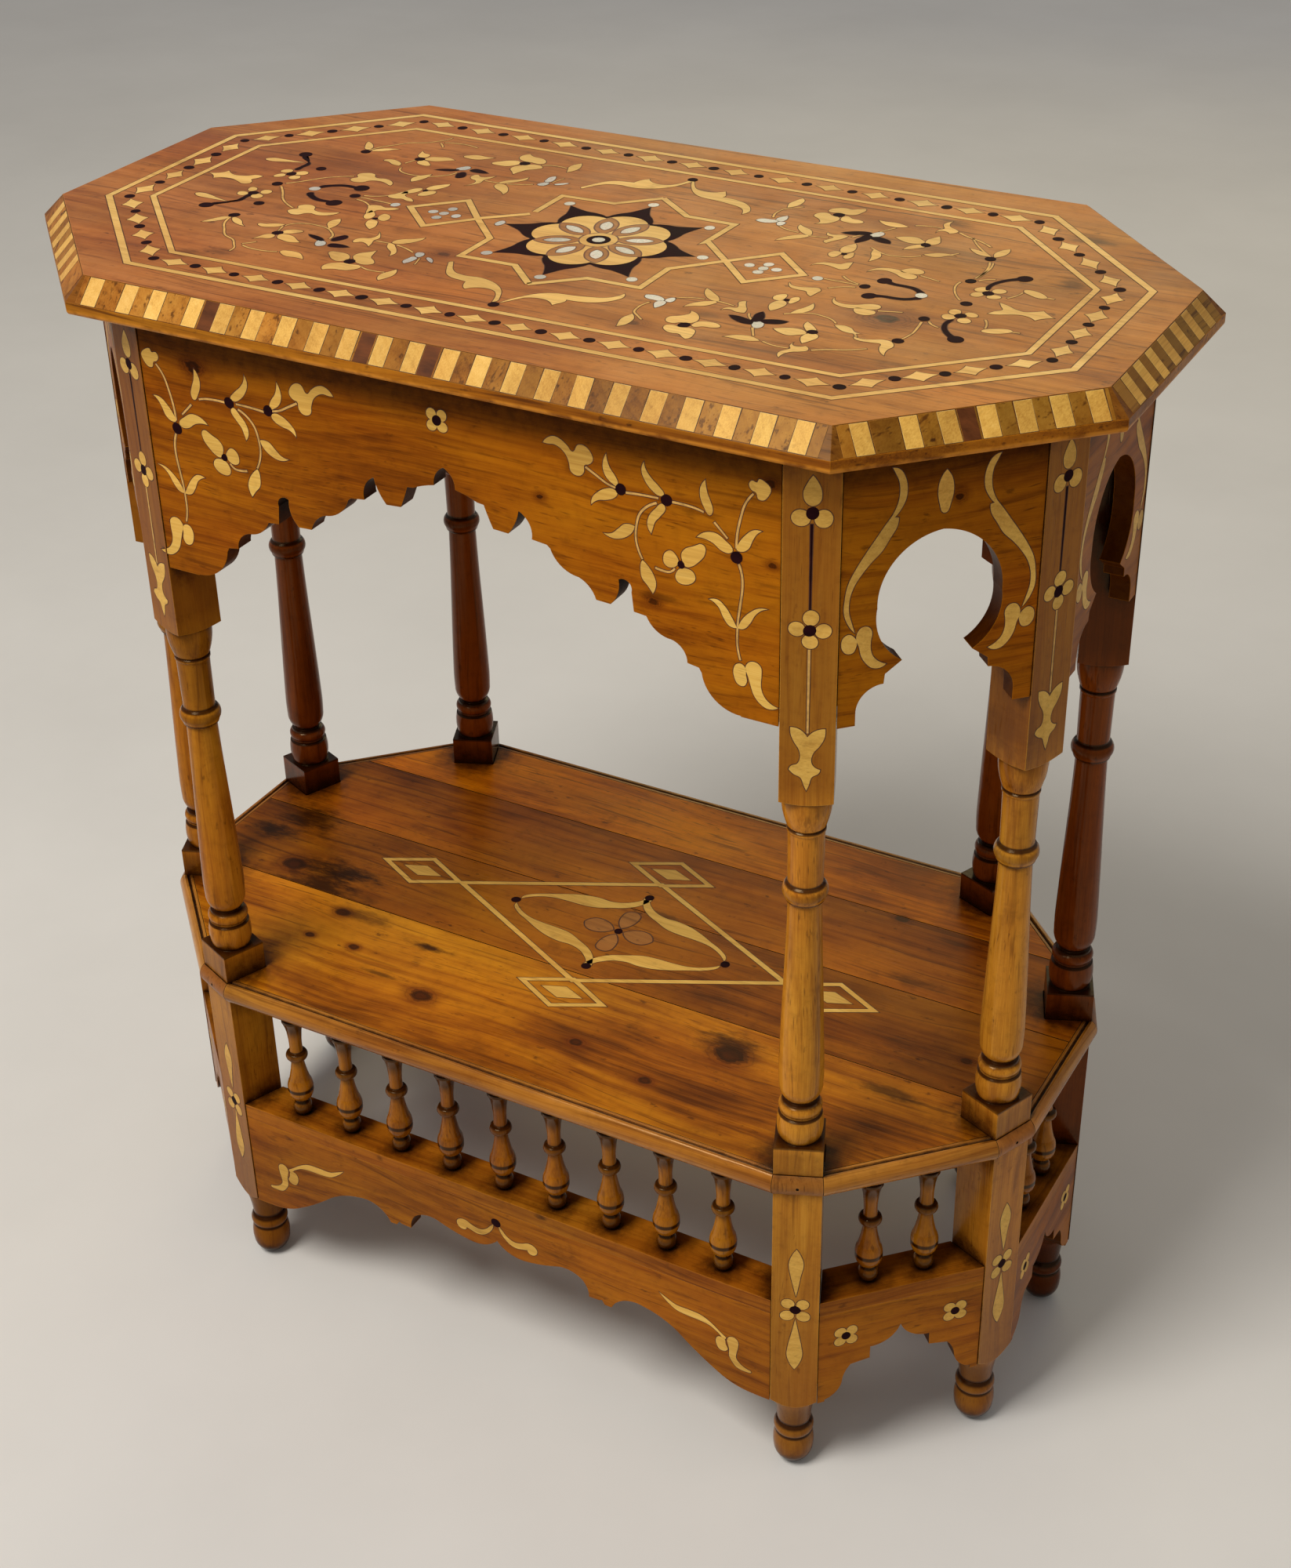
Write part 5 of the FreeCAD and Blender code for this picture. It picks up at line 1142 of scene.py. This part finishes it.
# one leg wood in three tones of painted light and shade: the back legs darkest, the left ones darker than the
# right
LEG_LOOKS = {"back": dict(mean=(120, 54, 8), gloss=0.22, bands=LEG_BANDS),
             "right": dict(mean=(198, 131, 38), gloss=0.22, bands=LEG_BANDS),
             "left": dict(mean=(174, 108, 24), gloss=0.10, bands=LEG_BANDS + (LEG_SHADE,))}


def give(node, mat):
    piece = NODES[node]
    for slot in piece.material_slots:
        slot.material = mat
    if not piece.material_slots:
        piece.data.materials.append(mat)


def at_height(marks, height, middle=0, reach=1):
    """The marks within reach of the middle line, with the height put in, which they are written without."""
    return [(x, y, height / 1000, *rest) for x, y, *rest in marks if abs(y - middle) < reach]


def dress_boards():
    """Aprons, rails and mouldings; two opposite sides share one wood."""
    made = {}
    for kind, look in BOARDS.items():
        for side, turn in SIDE_TURN.items():
            key, angle = (kind, turn), math.radians(turn)
            if key not in made:
                rim = (-math.sin(angle), -math.cos(angle), 0) if "apron" in kind else None
                made[key] = wood(f"{kind}_{side}_wood", turn=(0, 0, angle), seed=1.7 * len(made) + 6.4,
                                 rim=rim, knots=BOARD_KNOTS.get(key, ()),
                                 smudges=BOARD_SMUDGES.get(key, ()), **look)
            give(f"{kind}_{side}", made[key])


def dress_legs():
    for count, node in enumerate(sorted(node for node in NODES if node.startswith("leg_"))):
        look = LEG_LOOKS[next(word for word in LEG_LOOKS if word in node)]
        smudges = LEG_PAINTED_SHADE.get(node, ())
        give(node, wood(node + "_wood", seed=count + 1, smudges=smudges, **LEG_LOOK, **look))


def dress_shelf():
    for count, (middle, mean) in enumerate(SHELF_BOARDS, 1):
        give(f"shelf_board_{count}", wood(
            f"shelf_board_{count}_wood", mean, seed=30 + count, ring=0.010, contrast=1.3, red=0.9, gloss=0.12,
            rough=0.32, ragged=0.8, halo=2.5, patch=2.0, reach=0.024, lines=1.4,
            knots=at_height(SHELF_KNOTS, SHELF_FACE, middle, 0.05),
            smudges=at_height(SHELF_SMUDGES_AND_SHADE, SHELF_FACE, middle, 0.05)))


def dress_small():
    """Balusters, battens, slips, screws and pins."""
    turned = wood("baluster_wood", (156, 92, 14), turn=UPRIGHT, seed=21, ring=0.005, red=0.6, crease=1.0,
                  reach=0.015, rough=0.16, gloss=0.30, coat=0.0, bands=BALUSTER_BANDS)
    iron = plain("old_iron", (70, 58, 50), vary=0.2, rough=0.55, scale=300, metal=0.9)
    for node in NODES:
        if node.startswith("balusters_"):
            give(node, turned)
        elif node in ("batten_screws", "slip_pins"):
            give(node, iron)
        elif "batten" in node:
            give(node, wood(node + "_wood", (150, 100, 58), turn=ACROSS, seed=60 + len(node), ring=0.008,
                            rough=0.62, coat=0.0, contrast=0.8))
    give("moulding_slips", wood("slip_wood", (152, 92, 34), turn=UPRIGHT, seed=55, ring=0.005, contrast=0.7))


def top_woods():
    """The woods of the top's face, of the ground under the checker blocks, and of the lip below them."""
    face = TOP - 0.1
    cracks = ((0.060, 0.170, 0.116, 0.0009, 0.75), (0.165, 0.230, 0.101, 0.0008, 0.6))
    # the top's drift is a painted reflection, pinkish at the left front and a golden sheen at the right back
    return (wood("top_wood", (170, 104, 44), drift=((1.01, 0.94, 1.06, 1), (1.04, 1.05, 0.78, 1)), ring=0.011,
                 contrast=0.85, rough=0.36, coat=0.02, gloss=0.16, patch=0.95, lines=1.3, ragged=0.9,
                 halo=5.0, knots=at_height(TOP_KNOTS, face), smudges=at_height(TOP_SMUDGES, face),
                 cracks=cracks),
            wood("edge_ground_wood", (122, 72, 20), seed=4, ring=0.006, gloss=0.12, lines=1.4),
            # the light line of the lip is wear and painted light on its rounded underside
            wood("edge_lip_wood", (162, 96, 17), seed=5, reach=0.003, worn=((0.7208, 0.0022, 0.85),),
                 ring=0.006, contrast=1.1, patch=1.6, gloss=0.12, lines=1.7))


def dress_top(mats):
    """The top board again, its upper face set down so that the inlay ends at its true height."""
    mesh = NODES["top_board"].data.copy()
    board = add("top_board_dressed", mesh)
    upper, lower = (TOP - 0.2) / 1000, TOP_LIP_FOOT / 1000
    for vertex in mesh.vertices:
        if vertex.co.z > (TOP - 0.1) / 1000:
            vertex.co.z -= TOP_SET_DOWN / 1000
    mesh.materials.clear()
    for mat in mats:
        mesh.materials.append(mat)
    for polygon in mesh.polygons:
        heights = [mesh.vertices[i].co.z for i in polygon.vertices]
        on_face, on_slope = min(heights) > upper or max(heights) < lower, 0.3 < polygon.normal.z < 0.95
        polygon.material_index = 0 if on_face else 1 if max(heights) > upper and on_slope else 2
    mesh.update()
    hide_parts("top_board")
    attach(board, "root")


def inlay_mats():
    light = dict(lines=0.4, ring=0.004, red=0.5, crease=0, edge=0, rough=0.40)
    block = dict(turn=ACROSS, edge=0.0004, gloss=0.14)
    dark = dict(rough=0.5, scale=90, stretch=(0.4, 1.5, 1.5))
    return {
        "w": wood("inlay_light_wood", (226, 180, 102), gloss=0.14, seed=9, contrast=0.35, fibre=0.7,
                  patch=0.35, island=0.10, **light),
        "golden": wood("inlay_golden_wood", (226, 178, 87), gloss=0.12, seed=9.4, contrast=0.45, fibre=0.6,
                       patch=0.4, island=0.12, **light),
        "m": wood("inlay_brown_wood", (160, 98, 38), seed=12, ring=0.004, contrast=0.5, patch=0.5, crease=0,
                  edge=0),
        # the light blocks' drift is a painted warm sheen towards the right back
        "e": wood("edge_block_light", (220, 170, 88), drift=((1, 1, 1, 1), (1, 1, 0.84, 1)), lines=0.35,
                  seed=10, ring=0.004, contrast=0.45, fibre=0.9, patch=0.5, red=0.6, crease=0.2,
                  island=0.16, **block),
        # the brown blocks' drift is painted shade, darkest at the right end
        "e2": wood("edge_block_brown", (156, 99, 34), drift=((1.06, 1.06, 1.1, 1), (0.76, 0.80, 0.62, 1)),
                   seed=14, ring=0.005, contrast=1.1, patch=1.6, red=1.4, crease=0.3, island=0.30, lines=1.8,
                   **block),
        "k": plain("bog_wood", (34, 12, 16), vary=0.22, gloss=0.02, **dark),
        "k2": plain("edge_block_dark", (96, 52, 24), vary=0.2, gloss=0.08, **dark),
        "p": plain("shell", (198, 182, 166), rough=0.26, scale=120, coat=0.2, pearl=True, island=0.20),
        "s": plain("stem_wood", (208, 160, 86), vary=0.12, rough=0.45, gloss=0.15, scale=200, island=0.06),
        "g": plain("glue_line", (78, 40, 14), vary=0.2, rough=0.6, scale=150),
        "b": plain("rosette_brown", (98, 48, 20), vary=0.15, rough=0.42, scale=120, stretch=(0.5, 1.5, 1.5))}


def make_all():
    bpy.context.scene.view_settings.view_transform = "Standard"
    set_camera()
    set_light()
    set_floor()
    dress_top(top_woods())
    mats = inlay_mats()
    lay_top(mats)
    lay_edge(mats)
    mats["w"] = mats["golden"]
    for work in (lay_aprons, lay_legs, lay_shelf):
        work(mats)
    for work in (dress_boards, dress_legs, dress_shelf, dress_small):
        work()


make_all()
